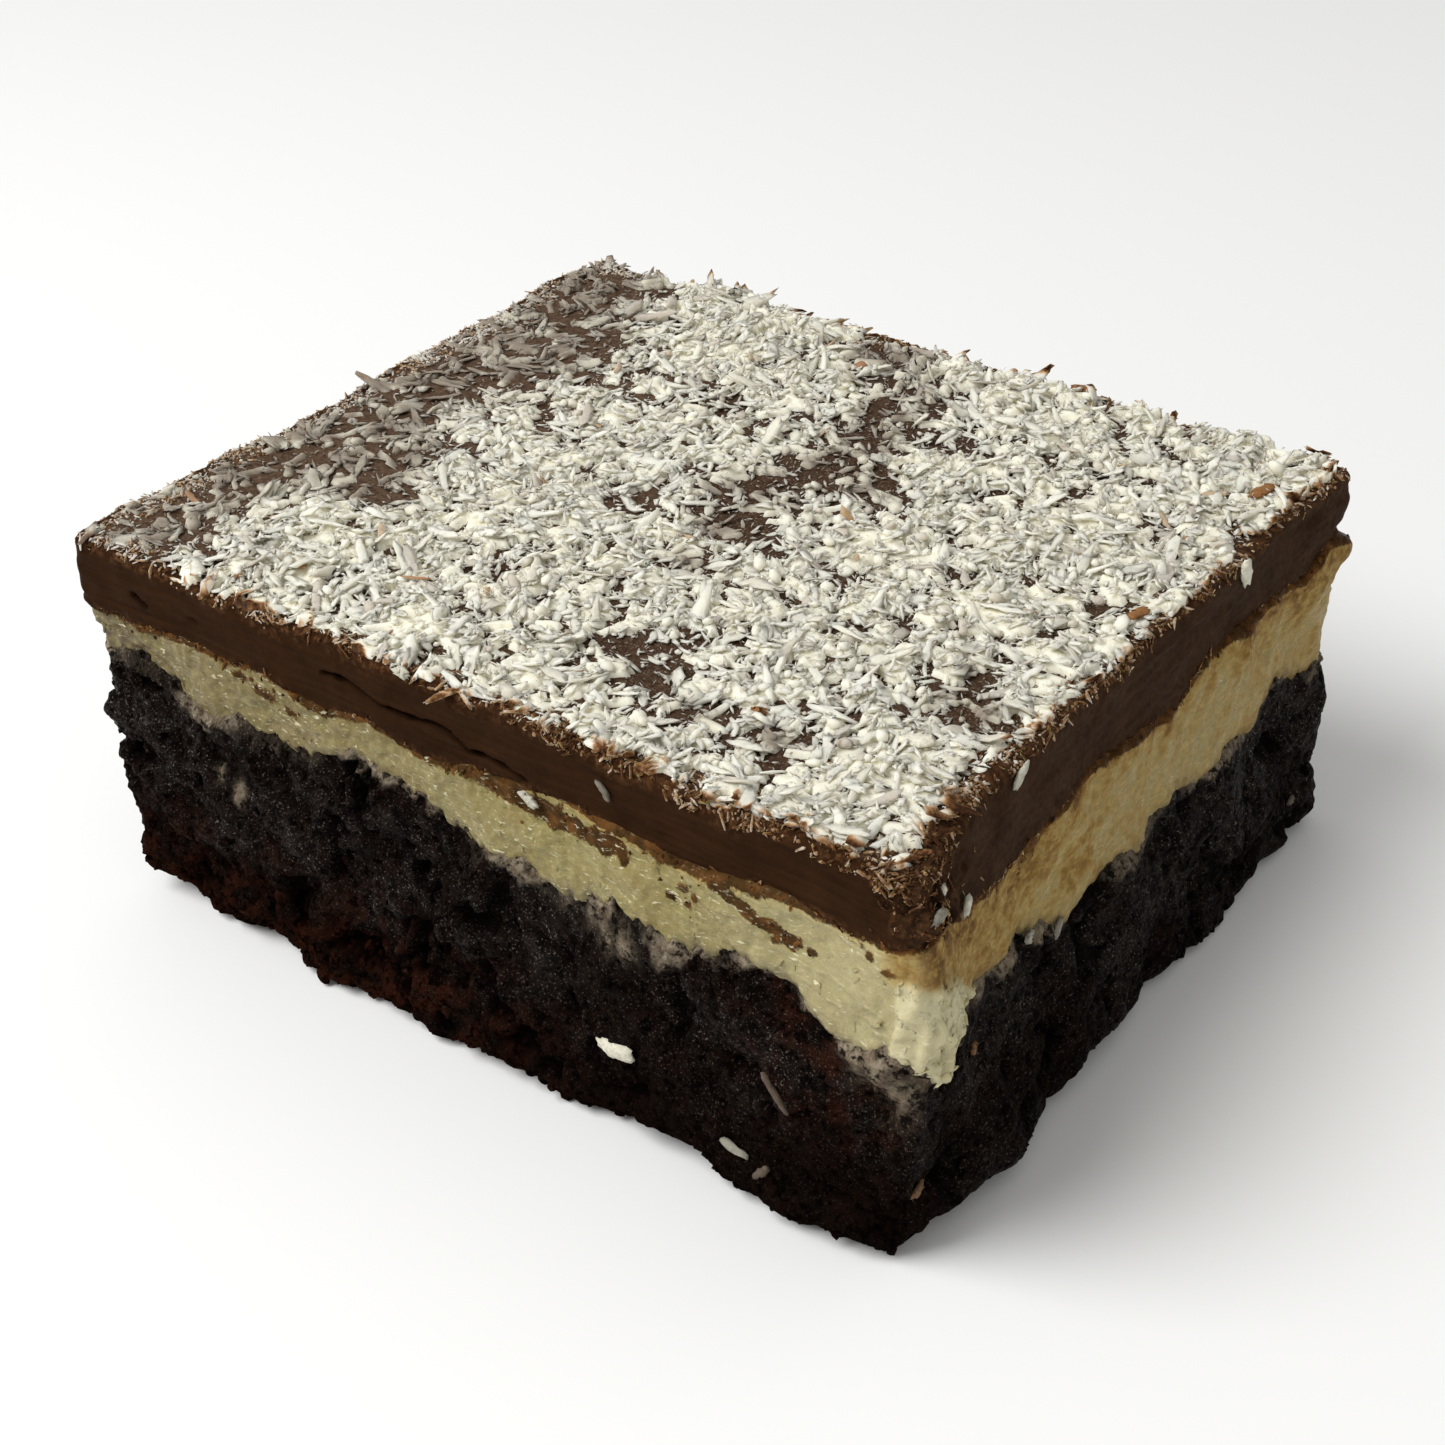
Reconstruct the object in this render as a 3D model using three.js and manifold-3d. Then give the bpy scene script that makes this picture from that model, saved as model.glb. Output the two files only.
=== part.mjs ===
// Coconut ganache brownie: a cut slice of three layers, a crumbly chocolate brownie below, a soft
// coconut filling in the middle and a slab of chocolate ganache on top, strewn with coconut flakes.
// Millimetres, +Z up. X runs along the longer cut side, and the slice stands on Z = 0.
import * as THREE from 'three';
import { mergeVertices } from 'three/addons/utils/BufferGeometryUtils.js';
import Module from 'manifold-3d';

// Driving dimensions of the slice
const LENGTH = 80;
const WIDTH = 68;
const CORNER_RADIUS = 1.8;
const LAYER_GAP = 0.3;
const CENTRE_SHIFT = [-1.2, 0.3]; // along X and Y, it brings the slice's middle onto the Z axis

// Heights of the three upper borders at the slice's four corners
const BROWNIE_TOP = { frontLeft: 25.2, frontRight: 21.6, backRight: 18.2, backLeft: 21.8 };
const FILLING_TOP = { frontLeft: 29.3, frontRight: 30.3, backRight: 28.2, backLeft: 28.8 };
const GANACHE_TOP = { frontLeft: 35.9, frontRight: 36.2, backRight: 35.2, backLeft: 35.9 };

// Humps and dips in a border at the cut sides: middle in plan, reach and rise
const BROWNIE_TOP_HUMPS = [
  { x: -31, y: -34, reach: 5, rise: 0.9 },
  { x: -10, y: -34, reach: 5, rise: 2 },
  { x: 9, y: -34, reach: 6, rise: -0.9 },
  { x: 30, y: -34, reach: 4, rise: 1.3 },
  { x: 40, y: -2, reach: 15, rise: -2 },
  { x: -40, y: 10, reach: 9, rise: 1.2 },
  { x: 6, y: 34, reach: 12, rise: 1.4 },
  { x: 40, y: 34, reach: 12, rise: -1.3 },
];
const FILLING_TOP_HUMPS = [
  { x: -18, y: -34, reach: 4, rise: 0.8 },
  { x: -2, y: -34, reach: 4, rise: -0.8 },
  { x: 40, y: -21, reach: 7, rise: -1.8 },
  { x: 40, y: 4, reach: 8, rise: -1.8 },
  { x: -10, y: 34, reach: 9, rise: -1 },
  { x: 40, y: 34, reach: 12, rise: 0.9 },
];

// Waves along each border, as whole turns round the slice, a swing and a phase
const BROWNIE_TOP_WAVES = [[11, 0.25, 0.6], [17, 0.3, 2.1], [29, 0.3, 4.4]];
const FILLING_TOP_WAVES = [[7, 0.2, 1.2], [15, 0.2, 3.3], [31, 0.15, 0.5]];
const GANACHE_TOP_WAVES = [[6, 0.2, 2.4], [13, 0.18, 0.2], [27, 0.12, 5.1]];

// Where the cut pulls the slice out or presses it in: a middle in plan with its reach, a height with
// its spread, and the shift along X and Y. The first is the corner that the knife dragged outwards,
// the next ones are the upper corners, and the rest are bulges and wear of the foot.
const PULLS = [
  { x: 40, y: -34, reach: 7.5, height: 25, spread: 13, shift: [3.1, -0.45] },
  { x: 40, y: 34, reach: 7, height: 31, spread: 8, shift: [1.2, 0.3] },
  { x: -40, y: -34, reach: 7, height: 32, spread: 7, shift: [-0.6, 0] },
  { x: 40, y: 34, reach: 6, height: 11, spread: 5, shift: [0.8, 0] },
  { x: 40, y: -19, reach: 5.5, height: 2, spread: 6, shift: [1.3, 0] },
  { x: 41, y: -33, reach: 3, height: 0, spread: 5, shift: [-0.8, 1] },
  { x: 31, y: -34, reach: 6, height: 2, spread: 5, shift: [0, -1.5] },
  { x: 20, y: -34, reach: 4, height: 0, spread: 4, shift: [0, 1.1] },
  { x: -24, y: -34, reach: 3, height: 0, spread: 3, shift: [0, 1.8] },
  { x: -36, y: -34, reach: 5, height: 0, spread: 4, shift: [0, 0.9] },
];

// The brownie's foot stands out on the right, and the left side steps in under the ganache
const FOOT_SPREAD = 1.4;
const FOOT_HEIGHT = 22;
const LEFT_STEP = 0.7;
const LEFT_STEP_HEIGHT = 28;

// The brownie's lower edge is worn round, by an amount that changes on the way round
const FOOT_ROUND = 2.9;
const FOOT_ROUND_WAVES = [[3, 0.8, 2.6], [8, 0.6, 0.9], [19, 0.4, 3.0]];
const FOOT_ROUND_LEAST = 1.2;
const FOOT_ANGLES = [0, 0.45, 0.95, Math.PI / 2];
const GANACHE_EDGE_ROUND = 0.85;

// Crags on the cut sides: cell size in millimetres, and how far they reach in and out
const BROWNIE_CRAGS = [[7.5, 0.75], [3.4, 0.7]];
const FILLING_CRAGS = [[9, 0.35], [4.2, 0.4]];
const GANACHE_CRAGS = [[14, 0.3], [5.5, 0.18]];
const BROWNIE_BORDER_CRAGS = [[8, 0.5], [3.8, 0.45]];
const FILLING_BORDER_CRAGS = [[11, 0.3], [5, 0.25]];

// Points round the slice on a cut side, and on the rings inside it. The top and bottom of each layer
// run in from the sides to a ring at INNER_SCALE, then to one at MIDDLE_SCALE and the middle.
const COLUMNS = 104;
const INNER_COLUMNS = 26;
const INNER_SCALE = 0.86;
const MIDDLE_SCALE = 0.5;

// Coconut flakes: how many, and their sizes from the smallest to the largest
const FLAKES = {
  count: 240,
  length: [2.8, 6.4],
  width: [1.3, 2.1],
  thickness: [0.9, 1.4],
  curl: 0.2,
  tilt: 0.14,
  rise: 0.12,
  edgeMargin: 2,
  candidates: 14,
  seed: 20419,
};

// Thinly strewn spots of the top: middle in plan, reach in x and y, and the share taken away
const THIN_SPOTS = [
  { x: -38, y: -14, rx: 16, ry: 22, less: 0.95 },
  { x: -36, y: 16, rx: 13, ry: 20, less: 0.85 },
  { x: -1, y: 4, rx: 9, ry: 8, less: 0.7 },
  { x: 2, y: 24, rx: 10, ry: 9, less: 0.75 },
  { x: 15, y: -24, rx: 6, ry: 4, less: 0.6 },
];

// Flakes caught in the cut front side of the brownie: place, length and turn
const SIDE_FLAKES = [
  { x: 15.8, z: 9.4, length: 3.8, turn: 0.1 },
  { x: 26.2, z: 5.6, length: 4, turn: -0.35 },
  { x: 31.3, z: 14.2, length: 3.8, turn: -0.95 },
];
const SIDE_FLAKE = { width: 1.5, thickness: 2.4, curl: 0.08 };

const BORDERS = {
  brownieTop: { corners: BROWNIE_TOP, humps: BROWNIE_TOP_HUMPS, waves: BROWNIE_TOP_WAVES },
  fillingTop: { corners: FILLING_TOP, humps: FILLING_TOP_HUMPS, waves: FILLING_TOP_WAVES },
  ganacheTop: { corners: GANACHE_TOP, humps: [], waves: GANACHE_TOP_WAVES },
};

const wasm = await Module();
wasm.setup();

// A repeatable value from 0 to 1 for one corner of the noise's grid
function cornerValue(i, j, k) {
  const s = Math.sin(i * 127.1 + j * 311.7 + k * 74.7) * 43758.5453;
  return s - Math.floor(s);
}

// Smooth noise from -1 to 1, with one cell to each unit
function noise(x, y, z) {
  const base = [x, y, z].map(Math.floor);
  const [u, v, w] = [x, y, z].map((value, axis) => {
    const t = value - base[axis];
    return t * t * (3 - 2 * t);
  });
  let sum = 0;
  for (let corner = 0; corner < 8; corner++) {
    const [a, b, c] = [corner & 1, (corner >> 1) & 1, corner >> 2];
    const weight = (a ? u : 1 - u) * (b ? v : 1 - v) * (c ? w : 1 - w);
    sum += weight * cornerValue(base[0] + a, base[1] + b, base[2] + c);
  }
  return 2 * sum - 1;
}

function between([low, high], share) {
  return low + (high - low) * share;
}

// How far a cut side stands out of its plane at a point
function cragAt(crags, x, y, z) {
  return crags.reduce((sum, [cell, reach]) => sum + reach * noise(x / cell, y / cell, z / cell), 0);
}

// A sum of waves at a place round the slice, from 0 to 1
function waveAt(waves, turn) {
  const angle = 2 * Math.PI * turn;
  return waves.reduce((sum, [cycles, swing, phase]) => sum + swing * Math.sin(cycles * angle + phase), 0);
}

// A border's height at a point of the plan: between its four corner heights, with its humps
function borderAt({ corners, humps }, x, y) {
  const u = x / LENGTH + 0.5;
  const v = y / WIDTH + 0.5;
  const front = between([corners.frontLeft, corners.frontRight], u);
  const back = between([corners.backLeft, corners.backRight], u);
  return humps.reduce((height, hump) => {
    const distance = Math.hypot(x - hump.x, y - hump.y) / hump.reach;
    return height + hump.rise * Math.exp(-(distance ** 2));
  }, between([front, back], v));
}

// The slice's outline in plan, anticlockwise from the front left corner
function roundedOutline() {
  const [x, y] = [LENGTH / 2 - CORNER_RADIUS, WIDTH / 2 - CORNER_RADIUS];
  const path = new THREE.Path();
  path.moveTo(-x, -WIDTH / 2);
  path.lineTo(x, -WIDTH / 2);
  // Each further arc brings the straight side that leads to it
  [[x, -y], [x, y], [-x, y], [-x, -y]].forEach(([cornerX, cornerY], corner) => {
    const from = ((corner - 1) * Math.PI) / 2;
    path.absarc(cornerX, cornerY, CORNER_RADIUS, from, from + Math.PI / 2);
  });
  return path;
}

const outline = roundedOutline();

// A point of the outline and its outward direction, at a place from 0 to 1 round it
function outlineAt(turn) {
  const point = outline.getPoint(turn);
  const ahead = outline.getTangent(turn);
  return { x: point.x, y: point.y, nx: ahead.y, ny: -ahead.x };
}

// How the cut shifts a point of the plan at a height: the foot stands out, the left side steps in,
// and each pull adds its share
function shifted(x, y, z) {
  const side = x / (LENGTH / 2);
  const foot = FOOT_SPREAD * Math.max(0, side) * Math.max(0, 1 - z / FOOT_HEIGHT);
  const step = z < LEFT_STEP_HEIGHT ? LEFT_STEP * Math.max(0, -side) : 0;
  return PULLS.reduce(([px, py], pull) => {
    const distance = Math.hypot(x - pull.x, y - pull.y) / pull.reach;
    const level = (z - pull.height) / pull.spread;
    const share = Math.exp(-(distance ** 2) - level ** 2);
    return [px + share * pull.shift[0], py + share * pull.shift[1]];
  }, [x + foot + step, y]);
}

// Triangles from one ring to the next one up. Each point of the ring further in is the hub of a fan,
// so two faces that meet are split alike and their gap stays even.
function bandTriangles(lower, upper) {
  const hubAbove = upper.scale < lower.scale;
  const [hub, rim] = hubAbove ? [upper, lower] : [lower, upper];
  const share = rim.columns / hub.columns;
  const triangles = [];
  for (let column = 0; column < hub.columns; column++) {
    const here = hub.start + column;
    const next = hub.start + ((column + 1) % hub.columns);
    for (let r = column * share; r < (column + 1) * share; r++) {
      const [a, b] = [rim.start + r, rim.start + ((r + 1) % rim.columns)];
      triangles.push(hubAbove ? [a, b, here] : [here, b, a]);
    }
    const far = rim.start + (((column + 1) * share) % rim.columns);
    triangles.push(hubAbove ? [far, next, here] : [here, next, far]);
  }
  return triangles.flat();
}

// A closed layer from rings, lowest first. Each ring gives a scale about the middle, an inset from
// the outline, a height and its crags, all at a place round the slice.
function layerGeometry(rings, layerCrags) {
  const positions = [];
  const laid = rings.map((ring) => {
    const { scale = 1 } = ring(0);
    const columns = scale < 1 ? INNER_COLUMNS : COLUMNS;
    const start = positions.length / 3;
    for (let column = 0; column < columns; column++) {
      const turn = column / columns;
      const { inset = 0, rough = 1, crags = layerCrags, height } = ring(turn);
      const { x, y, nx, ny } = outlineAt(turn);
      const z = height(scale * x, scale * y);
      const out = rough * cragAt(crags, x, y, z) - inset;
      const [px, py] = shifted(scale * x + out * nx, scale * y + out * ny, z);
      positions.push(px, py, z);
    }
    return { scale, columns, start };
  });
  const index = laid.slice(1).flatMap((upper, ring) => bandTriangles(laid[ring], upper));
  const low = positions.length / 3;
  const high = low + 1;
  positions.push(0, 0, rings[0](0).height(0, 0), 0, 0, rings.at(-1)(0).height(0, 0));
  const top = laid.at(-1);
  for (let column = 0; column < INNER_COLUMNS; column++) {
    const next = (column + 1) % INNER_COLUMNS;
    index.push(low, next, column, high, top.start + column, top.start + next);
  }
  const geometry = new THREE.BufferGeometry();
  geometry.setAttribute('position', new THREE.Float32BufferAttribute(positions, 3));
  geometry.setIndex(index);
  return geometry;
}

// A ring on a border between two layers, or on the top, raised by a shift. The border's waves show
// on the cut sides and die out inwards.
function borderRing(border, scale, shift, more = {}) {
  return (turn) => {
    const swing = scale < 1 ? 0 : waveAt(border.waves, turn);
    return { scale, ...more, height: (x, y) => borderAt(border, x, y) + swing + shift };
  };
}

// A ring inside the cut sides, where there are no crags
function innerRing(border, scale, shift) {
  return borderRing(border, scale, shift, { rough: 0 });
}

// Rings on a cut side between two others, at shares of the way up
function sideRings(lower, upper, shares) {
  return shares.map((share) => (turn) => {
    const from = lower(turn).height;
    const to = upper(turn).height;
    return { height: (x, y) => between([from(x, y), to(x, y)], share) };
  });
}

function brownieGeometry() {
  const floor = () => ({ scale: MIDDLE_SCALE, rough: 0, height: () => 0 });
  // The worn foot is a quarter turn from the floor to the upright side
  const round = (turn) => Math.max(FOOT_ROUND_LEAST, FOOT_ROUND + waveAt(FOOT_ROUND_WAVES, turn));
  const foot = FOOT_ANGLES.map((angle) => (turn) => ({
    inset: round(turn) * (1 - Math.sin(angle)),
    rough: Math.sin(angle),
    height: () => round(turn) * (1 - Math.cos(angle)),
  }));
  const border = BORDERS.brownieTop;
  const top = borderRing(border, 1, -LAYER_GAP / 2, { crags: BROWNIE_BORDER_CRAGS });
  const sides = sideRings(foot.at(-1), top, [0.2, 0.4, 0.6, 0.8]);
  const inner = innerRing(border, INNER_SCALE, -LAYER_GAP / 2);
  return layerGeometry([floor, ...foot, ...sides, top, inner], BROWNIE_CRAGS);
}

function fillingGeometry() {
  const [lower, upper] = [BORDERS.brownieTop, BORDERS.fillingTop];
  const bottom = borderRing(lower, 1, LAYER_GAP / 2, { crags: BROWNIE_BORDER_CRAGS });
  const top = borderRing(upper, 1, -LAYER_GAP / 2, { crags: FILLING_BORDER_CRAGS });
  const rings = [
    innerRing(lower, INNER_SCALE, LAYER_GAP / 2),
    bottom,
    ...sideRings(bottom, top, [0.33, 0.67]),
    top,
    innerRing(upper, INNER_SCALE, -LAYER_GAP / 2),
  ];
  return layerGeometry(rings, FILLING_CRAGS);
}

function ganacheGeometry() {
  const [lower, upper] = [BORDERS.fillingTop, BORDERS.ganacheTop];
  const bottom = borderRing(lower, 1, LAYER_GAP / 2, { crags: FILLING_BORDER_CRAGS });
  // The upper edge is round: an eighth of a turn from the side, and another onto the top
  const edge = [0, Math.PI / 4, Math.PI / 2].map((angle) => {
    const drop = GANACHE_EDGE_ROUND * (1 - Math.sin(angle));
    return borderRing(upper, 1, -drop, { inset: GANACHE_EDGE_ROUND * (1 - Math.cos(angle)) });
  });
  const rings = [
    innerRing(lower, INNER_SCALE, LAYER_GAP / 2),
    bottom,
    ...sideRings(bottom, edge[0], [0.33, 0.67]),
    ...edge,
    innerRing(upper, INNER_SCALE, 0),
    innerRing(upper, MIDDLE_SCALE, 0),
  ];
  return layerGeometry(rings, GANACHE_CRAGS);
}

// Random draws that repeat from one run to the next
function drawsFrom(seed) {
  const [multiplier, modulus] = [48271, 2147483647];
  let state = seed;
  return () => {
    state = (state * multiplier) % modulus;
    return state / modulus;
  };
}

// The share of flakes that lies at a place of the top, from 0 to 1
function coverAt(x, y) {
  return THIN_SPOTS.reduce((cover, spot) => {
    const distance = ((x - spot.x) / spot.rx) ** 2 + ((y - spot.y) / spot.ry) ** 2;
    return cover * (1 - spot.less * Math.exp(-distance));
  }, 1);
}

// A shred of coconut, lying along X: a sliver with pointed ends that curls sideways
function flakeGeometry(length, width, thickness, curl) {
  const sliver = new THREE.SphereGeometry(0.5, 4, 3);
  sliver.rotateZ(Math.PI / 2);
  sliver.scale(length, width, thickness);
  const position = sliver.getAttribute('position');
  for (let i = 0; i < position.count; i++) {
    const along = position.getX(i) / (length / 2);
    position.setY(i, position.getY(i) + curl * length * along ** 2);
  }
  return sliver;
}

// A closed geometry as a solid that can be joined with others
function solidFrom(geometry) {
  const bare = geometry.clone();
  bare.deleteAttribute('normal');
  bare.deleteAttribute('uv');
  const merged = mergeVertices(bare, 1e-4);
  return new wasm.Manifold(new wasm.Mesh({
    numProp: 3,
    vertProperties: merged.getAttribute('position').array,
    triVerts: new Uint32Array(merged.index.array),
  }));
}

// A solid back as a geometry
function geometryFrom(solid) {
  const { numProp, vertProperties, triVerts } = solid.getMesh();
  const positions = new Float32Array((vertProperties.length / numProp) * 3);
  for (let i = 0; i < positions.length / 3; i++) {
    positions.set(vertProperties.subarray(i * numProp, i * numProp + 3), i * 3);
  }
  const geometry = new THREE.BufferGeometry();
  geometry.setAttribute('position', new THREE.BufferAttribute(positions, 3));
  geometry.setIndex(new THREE.BufferAttribute(new Uint32Array(triVerts), 1));
  geometry.computeVertexNormals();
  return geometry;
}

// The body with pieces grown onto it, without loose scraps and sealed hollows
function fused(geometry, pieces) {
  const joined = wasm.Manifold.union([solidFrom(geometry), ...pieces]);
  const bodies = joined.decompose().sort((a, b) => b.volume() - a.volume());
  return geometryFrom(bodies[0]);
}

// Flakes on the ganache, the largest first. Each takes, of a few places drawn at random, the one
// that lies furthest from those already laid for the cover wanted there.
function topFlakes() {
  const draw = drawsFrom(FLAKES.seed);
  const laid = [];
  for (let n = 0; n < FLAKES.count; n++) {
    const size = 1 - n / FLAKES.count;
    let best = { score: 0 };
    for (let c = 0; c < FLAKES.candidates; c++) {
      const x = (draw() - 0.5) * (LENGTH - 2 * FLAKES.edgeMargin);
      const y = (draw() - 0.5) * (WIDTH - 2 * FLAKES.edgeMargin);
      const nearest = Math.min(LENGTH, ...laid.map((flake) => Math.hypot(x - flake.x, y - flake.y)));
      const score = nearest * Math.sqrt(coverAt(x, y));
      if (score > best.score) best = { x, y, score };
    }
    const length = between(FLAKES.length, size * between([0.6, 1], draw()));
    const width = between(FLAKES.width, draw());
    const thickness = between(FLAKES.thickness, draw());
    const curl = between([-FLAKES.curl, FLAKES.curl], draw());
    const geometry = flakeGeometry(length, width, thickness, curl);
    const [roll, pitch] = [draw(), draw()].map((share) => between([-FLAKES.tilt, FLAKES.tilt], share));
    const place = new THREE.Object3D();
    const [x, y] = shifted(best.x, best.y, GANACHE_TOP.frontRight);
    place.position.set(x, y, borderAt(BORDERS.ganacheTop, best.x, best.y) + FLAKES.rise);
    place.rotation.set(roll, pitch, draw() * Math.PI, 'ZYX');
    place.updateMatrix();
    laid.push({ ...best, solid: solidFrom(geometry.applyMatrix4(place.matrix)) });
  }
  return laid.map((flake) => flake.solid);
}

// Flakes that the cut laid bare in the brownie's front side, lying in its plane
function sideFlakes() {
  return SIDE_FLAKES.map(({ x, z, length, turn }) => {
    const geometry = flakeGeometry(length, SIDE_FLAKE.width, SIDE_FLAKE.thickness, SIDE_FLAKE.curl);
    geometry.rotateX(Math.PI / 2);
    geometry.rotateY(turn);
    geometry.translate(...shifted(x, -WIDTH / 2, z), z);
    return solidFrom(geometry);
  });
}

function layerMesh(name, geometry, color, roughness) {
  const material = new THREE.MeshStandardMaterial({ color, roughness, metalness: 0 });
  const mesh = new THREE.Mesh(geometry, material);
  mesh.name = name;
  return mesh;
}

const slice = new THREE.Group();
slice.add(
  layerMesh('brownie_base', fused(brownieGeometry(), sideFlakes()), '#211612', 0.7),
  layerMesh('coconut_filling', fillingGeometry(), '#c3b683', 0.55),
  layerMesh('ganache_slab', fused(ganacheGeometry(), topFlakes()), '#3d281c', 0.45),
);
slice.position.set(...CENTRE_SHIFT, 0);

export default slice;
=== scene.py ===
"""Coconut ganache brownie: a cut slice with a crumbly base, a coconut filling and a ganache slab
strewn with coconut flakes. Laid out as a Blender add-on, and run as a script.

Shapes are worked out in millimetres, in the slice's own frame: X along the front cut side, Y from
the front to the back, Z up from the plate. They become metres when a mesh is made.
"""
import math

import bmesh
import bpy
import numpy as np
from bpy.props import (
    FloatProperty,
    FloatVectorProperty,
    IntProperty,
    PointerProperty,
)
from mathutils import Matrix, Vector


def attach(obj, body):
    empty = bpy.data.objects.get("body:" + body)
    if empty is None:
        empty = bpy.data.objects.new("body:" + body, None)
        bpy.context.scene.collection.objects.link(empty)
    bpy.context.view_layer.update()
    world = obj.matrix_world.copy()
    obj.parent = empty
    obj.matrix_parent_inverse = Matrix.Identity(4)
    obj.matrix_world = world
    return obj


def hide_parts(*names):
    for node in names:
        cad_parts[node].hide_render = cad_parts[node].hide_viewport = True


bl_info = {
    "name": "Coconut ganache brownie",
    "version": (1, 0, 0),
    "blender": (4, 5, 0),
    "location": "3D View > Sidebar > Brownie",
    "description": "Builds a slice of brownie with coconut filling, ganache and coconut flakes",
    "category": "Object",
}

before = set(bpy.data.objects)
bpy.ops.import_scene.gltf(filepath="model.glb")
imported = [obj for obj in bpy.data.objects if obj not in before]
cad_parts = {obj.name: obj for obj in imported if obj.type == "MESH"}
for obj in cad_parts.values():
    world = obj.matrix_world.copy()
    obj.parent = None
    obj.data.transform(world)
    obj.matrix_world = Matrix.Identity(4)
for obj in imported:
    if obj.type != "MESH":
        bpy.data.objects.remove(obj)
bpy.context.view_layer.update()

MM = 0.001
CM2 = (10 * MM) ** 2
BODY = "root"
HIGHEST = 37.95 * MM

# The middle of the whole slice, with its dragged corner, lies on the Z axis
CENTRE_SHIFT = np.array([-1.2, 0.3, 0.0])

# Heights of the borders at the corners: front left, front right, back right, back left.
# Then their humps and dips: middle in plan, reach and rise. Then their waves round the slice:
# whole turns, swing and phase.
BROWNIE_TOP = {
    "corners": (25.2, 21.6, 18.2, 21.8),
    "humps": [
        (-31, -34, 5, 0.9),
        (-10, -34, 5, 2.0),
        (9, -34, 6, -0.9),
        (30, -34, 4, 1.3),
        (40, -2, 15, -2.0),
        (-40, 10, 9, 1.2),
        (6, 34, 12, 1.4),
        (40, 34, 12, -1.3),
    ],
    "waves": [(11, 0.25, 0.6), (17, 0.3, 2.1), (29, 0.3, 4.4)],
}
FILLING_TOP = {
    "corners": (29.3, 30.3, 28.2, 28.8),
    "humps": [
        (-18, -34, 4, 0.8),
        (-2, -34, 4, -0.8),
        (40, -21, 7, -1.8),
        (40, 4, 8, -1.8),
        (-10, 34, 9, -1.0),
        (40, 34, 12, 0.9),
    ],
    "waves": [(7, 0.2, 1.2), (15, 0.2, 3.3), (31, 0.15, 0.5)],
}
GANACHE_TOP = {
    "corners": (35.9, 36.2, 35.2, 35.9),
    "humps": [],
    "waves": [(6, 0.2, 2.4), (13, 0.18, 0.2), (27, 0.12, 5.1)],
}

# Numbers of the noise, which turn a cell of a grid into a repeatable draw
CELL_FACTORS = (374761393, 668265263, 1440662683)
SEED_FACTOR = 1274126177
ALL_BITS = 0xFFFFFFFF
GRID_SHIFT = 512.0
CRAG_WAVES = (127.1, 311.7, 74.7)
CRAG_SWING = 43758.5453
FRACTAL_GAIN = 1.6  # so that noise on noise still reaches about -1 and 1
INDEX_RANGE = 997  # of the draw that picks a strewn piece, which wraps round their number

# Where the cut pulls the slice out or presses it in: middle in plan, reach, height, its spread, and
# the shift along X and Y. The first is the corner that the knife dragged outwards, then come the
# upper corners, and the rest are bulges and wear of the foot.
PULLS = [
    (40, -34, 7.5, 25, 13, 3.1, -0.45),
    (40, 34, 7, 31, 8, 1.2, 0.3),
    (-40, -34, 7, 32, 7, -0.6, 0),
    (40, 34, 6, 11, 5, 0.8, 0),
    (40, -19, 5.5, 2, 6, 1.3, 0),
    (41, -33, 3, 0, 5, -0.8, 1),
    (31, -34, 6, 2, 5, 0, -1.5),
    (20, -34, 4, 0, 4, 0, 1.1),
    (-24, -34, 3, 0, 3, 0, 1.8),
    (-36, -34, 5, 0, 4, 0, 0.9),
]
# The share of a quarter circle in which the sides draw in under a border
ALMOST_FULL = 0.98
# The foot stands out on the right, and the left side steps in under the ganache
FOOT_SPREAD = 1.4
FOOT_HEIGHT = 22.0
LEFT_STEP = 0.7
LEFT_STEP_HEIGHT = 28.0
FOOT_ROUND_WAVES = [(3, 0.8, 2.6), (8, 0.6, 0.9), (19, 0.4, 3.0)]
FOOT_ROUND_LEAST = 1.2

# Small rises and dips of the two borders, by x along the front side and by y along the right one
CRUMB_TEETH = {
    "front": [
        (-33, 0.0), (-26.5, -1.2), (-21, 0.0), (-7, 0.5), (-2, 0.7), (5.5, 1.0), (9, 0.2), (25, 0.3),
        (31, 0.3), (33.1, -0.7), (35.2, -1.1), (36.7, 0.0), (38.3, 0.8), (40, 0.2)],
    "right": [
        (-34.3, 0.4), (-32.4, -1.7), (-31, -2.7), (-29.9, -3.0), (-29.2, -1.7), (-28.4, -0.4),
        (-27.6, 0.9), (-26.9, 0.3), (-25, -1.3), (-23.6, -0.9), (-21.8, -0.1), (-18, -0.3),
        (-16.8, 0.6), (-15.1, -0.8), (-10.4, -1.6), (-6.9, -0.9), (-1.1, -0.5), (5, 0.5),
        (12.9, -0.5), (19.9, -1.0), (23.4, 1.1), (28, 0.0), (32.4, 0.5), (34, 0.0)],
}
SEAM_TEETH = {
    "front": [
        (-40, 0.0), (-32, 0.4), (-25.5, 0.4), (-17.7, 0.3), (-12, 0.2), (-7.2, 0.6), (-3, 0.1),
        (1, 0.0), (6.3, 0.4), (11.7, 0.7), (15.3, 0.4), (22, 0.0), (26.4, 0.6), (30.1, 0.8),
        (33.4, 0.4), (36, 0.0), (38.9, 0.4), (40, 0.2)],
    "right": [
        (-34, 0.2), (-31, 0.2), (-26.2, -0.4), (-19.3, -1.0), (-13.6, -1.1), (-7.7, 0.0),
        (0.4, -0.1), (6.8, -0.6), (9, 0.9), (12, 0.2), (18.1, -0.6), (26.9, -0.8), (30, 1.0),
        (34, 0.0)],
}

# How far in from a cut side its own relief and colours reach
SIDE_BLEND = 1.6

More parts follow.
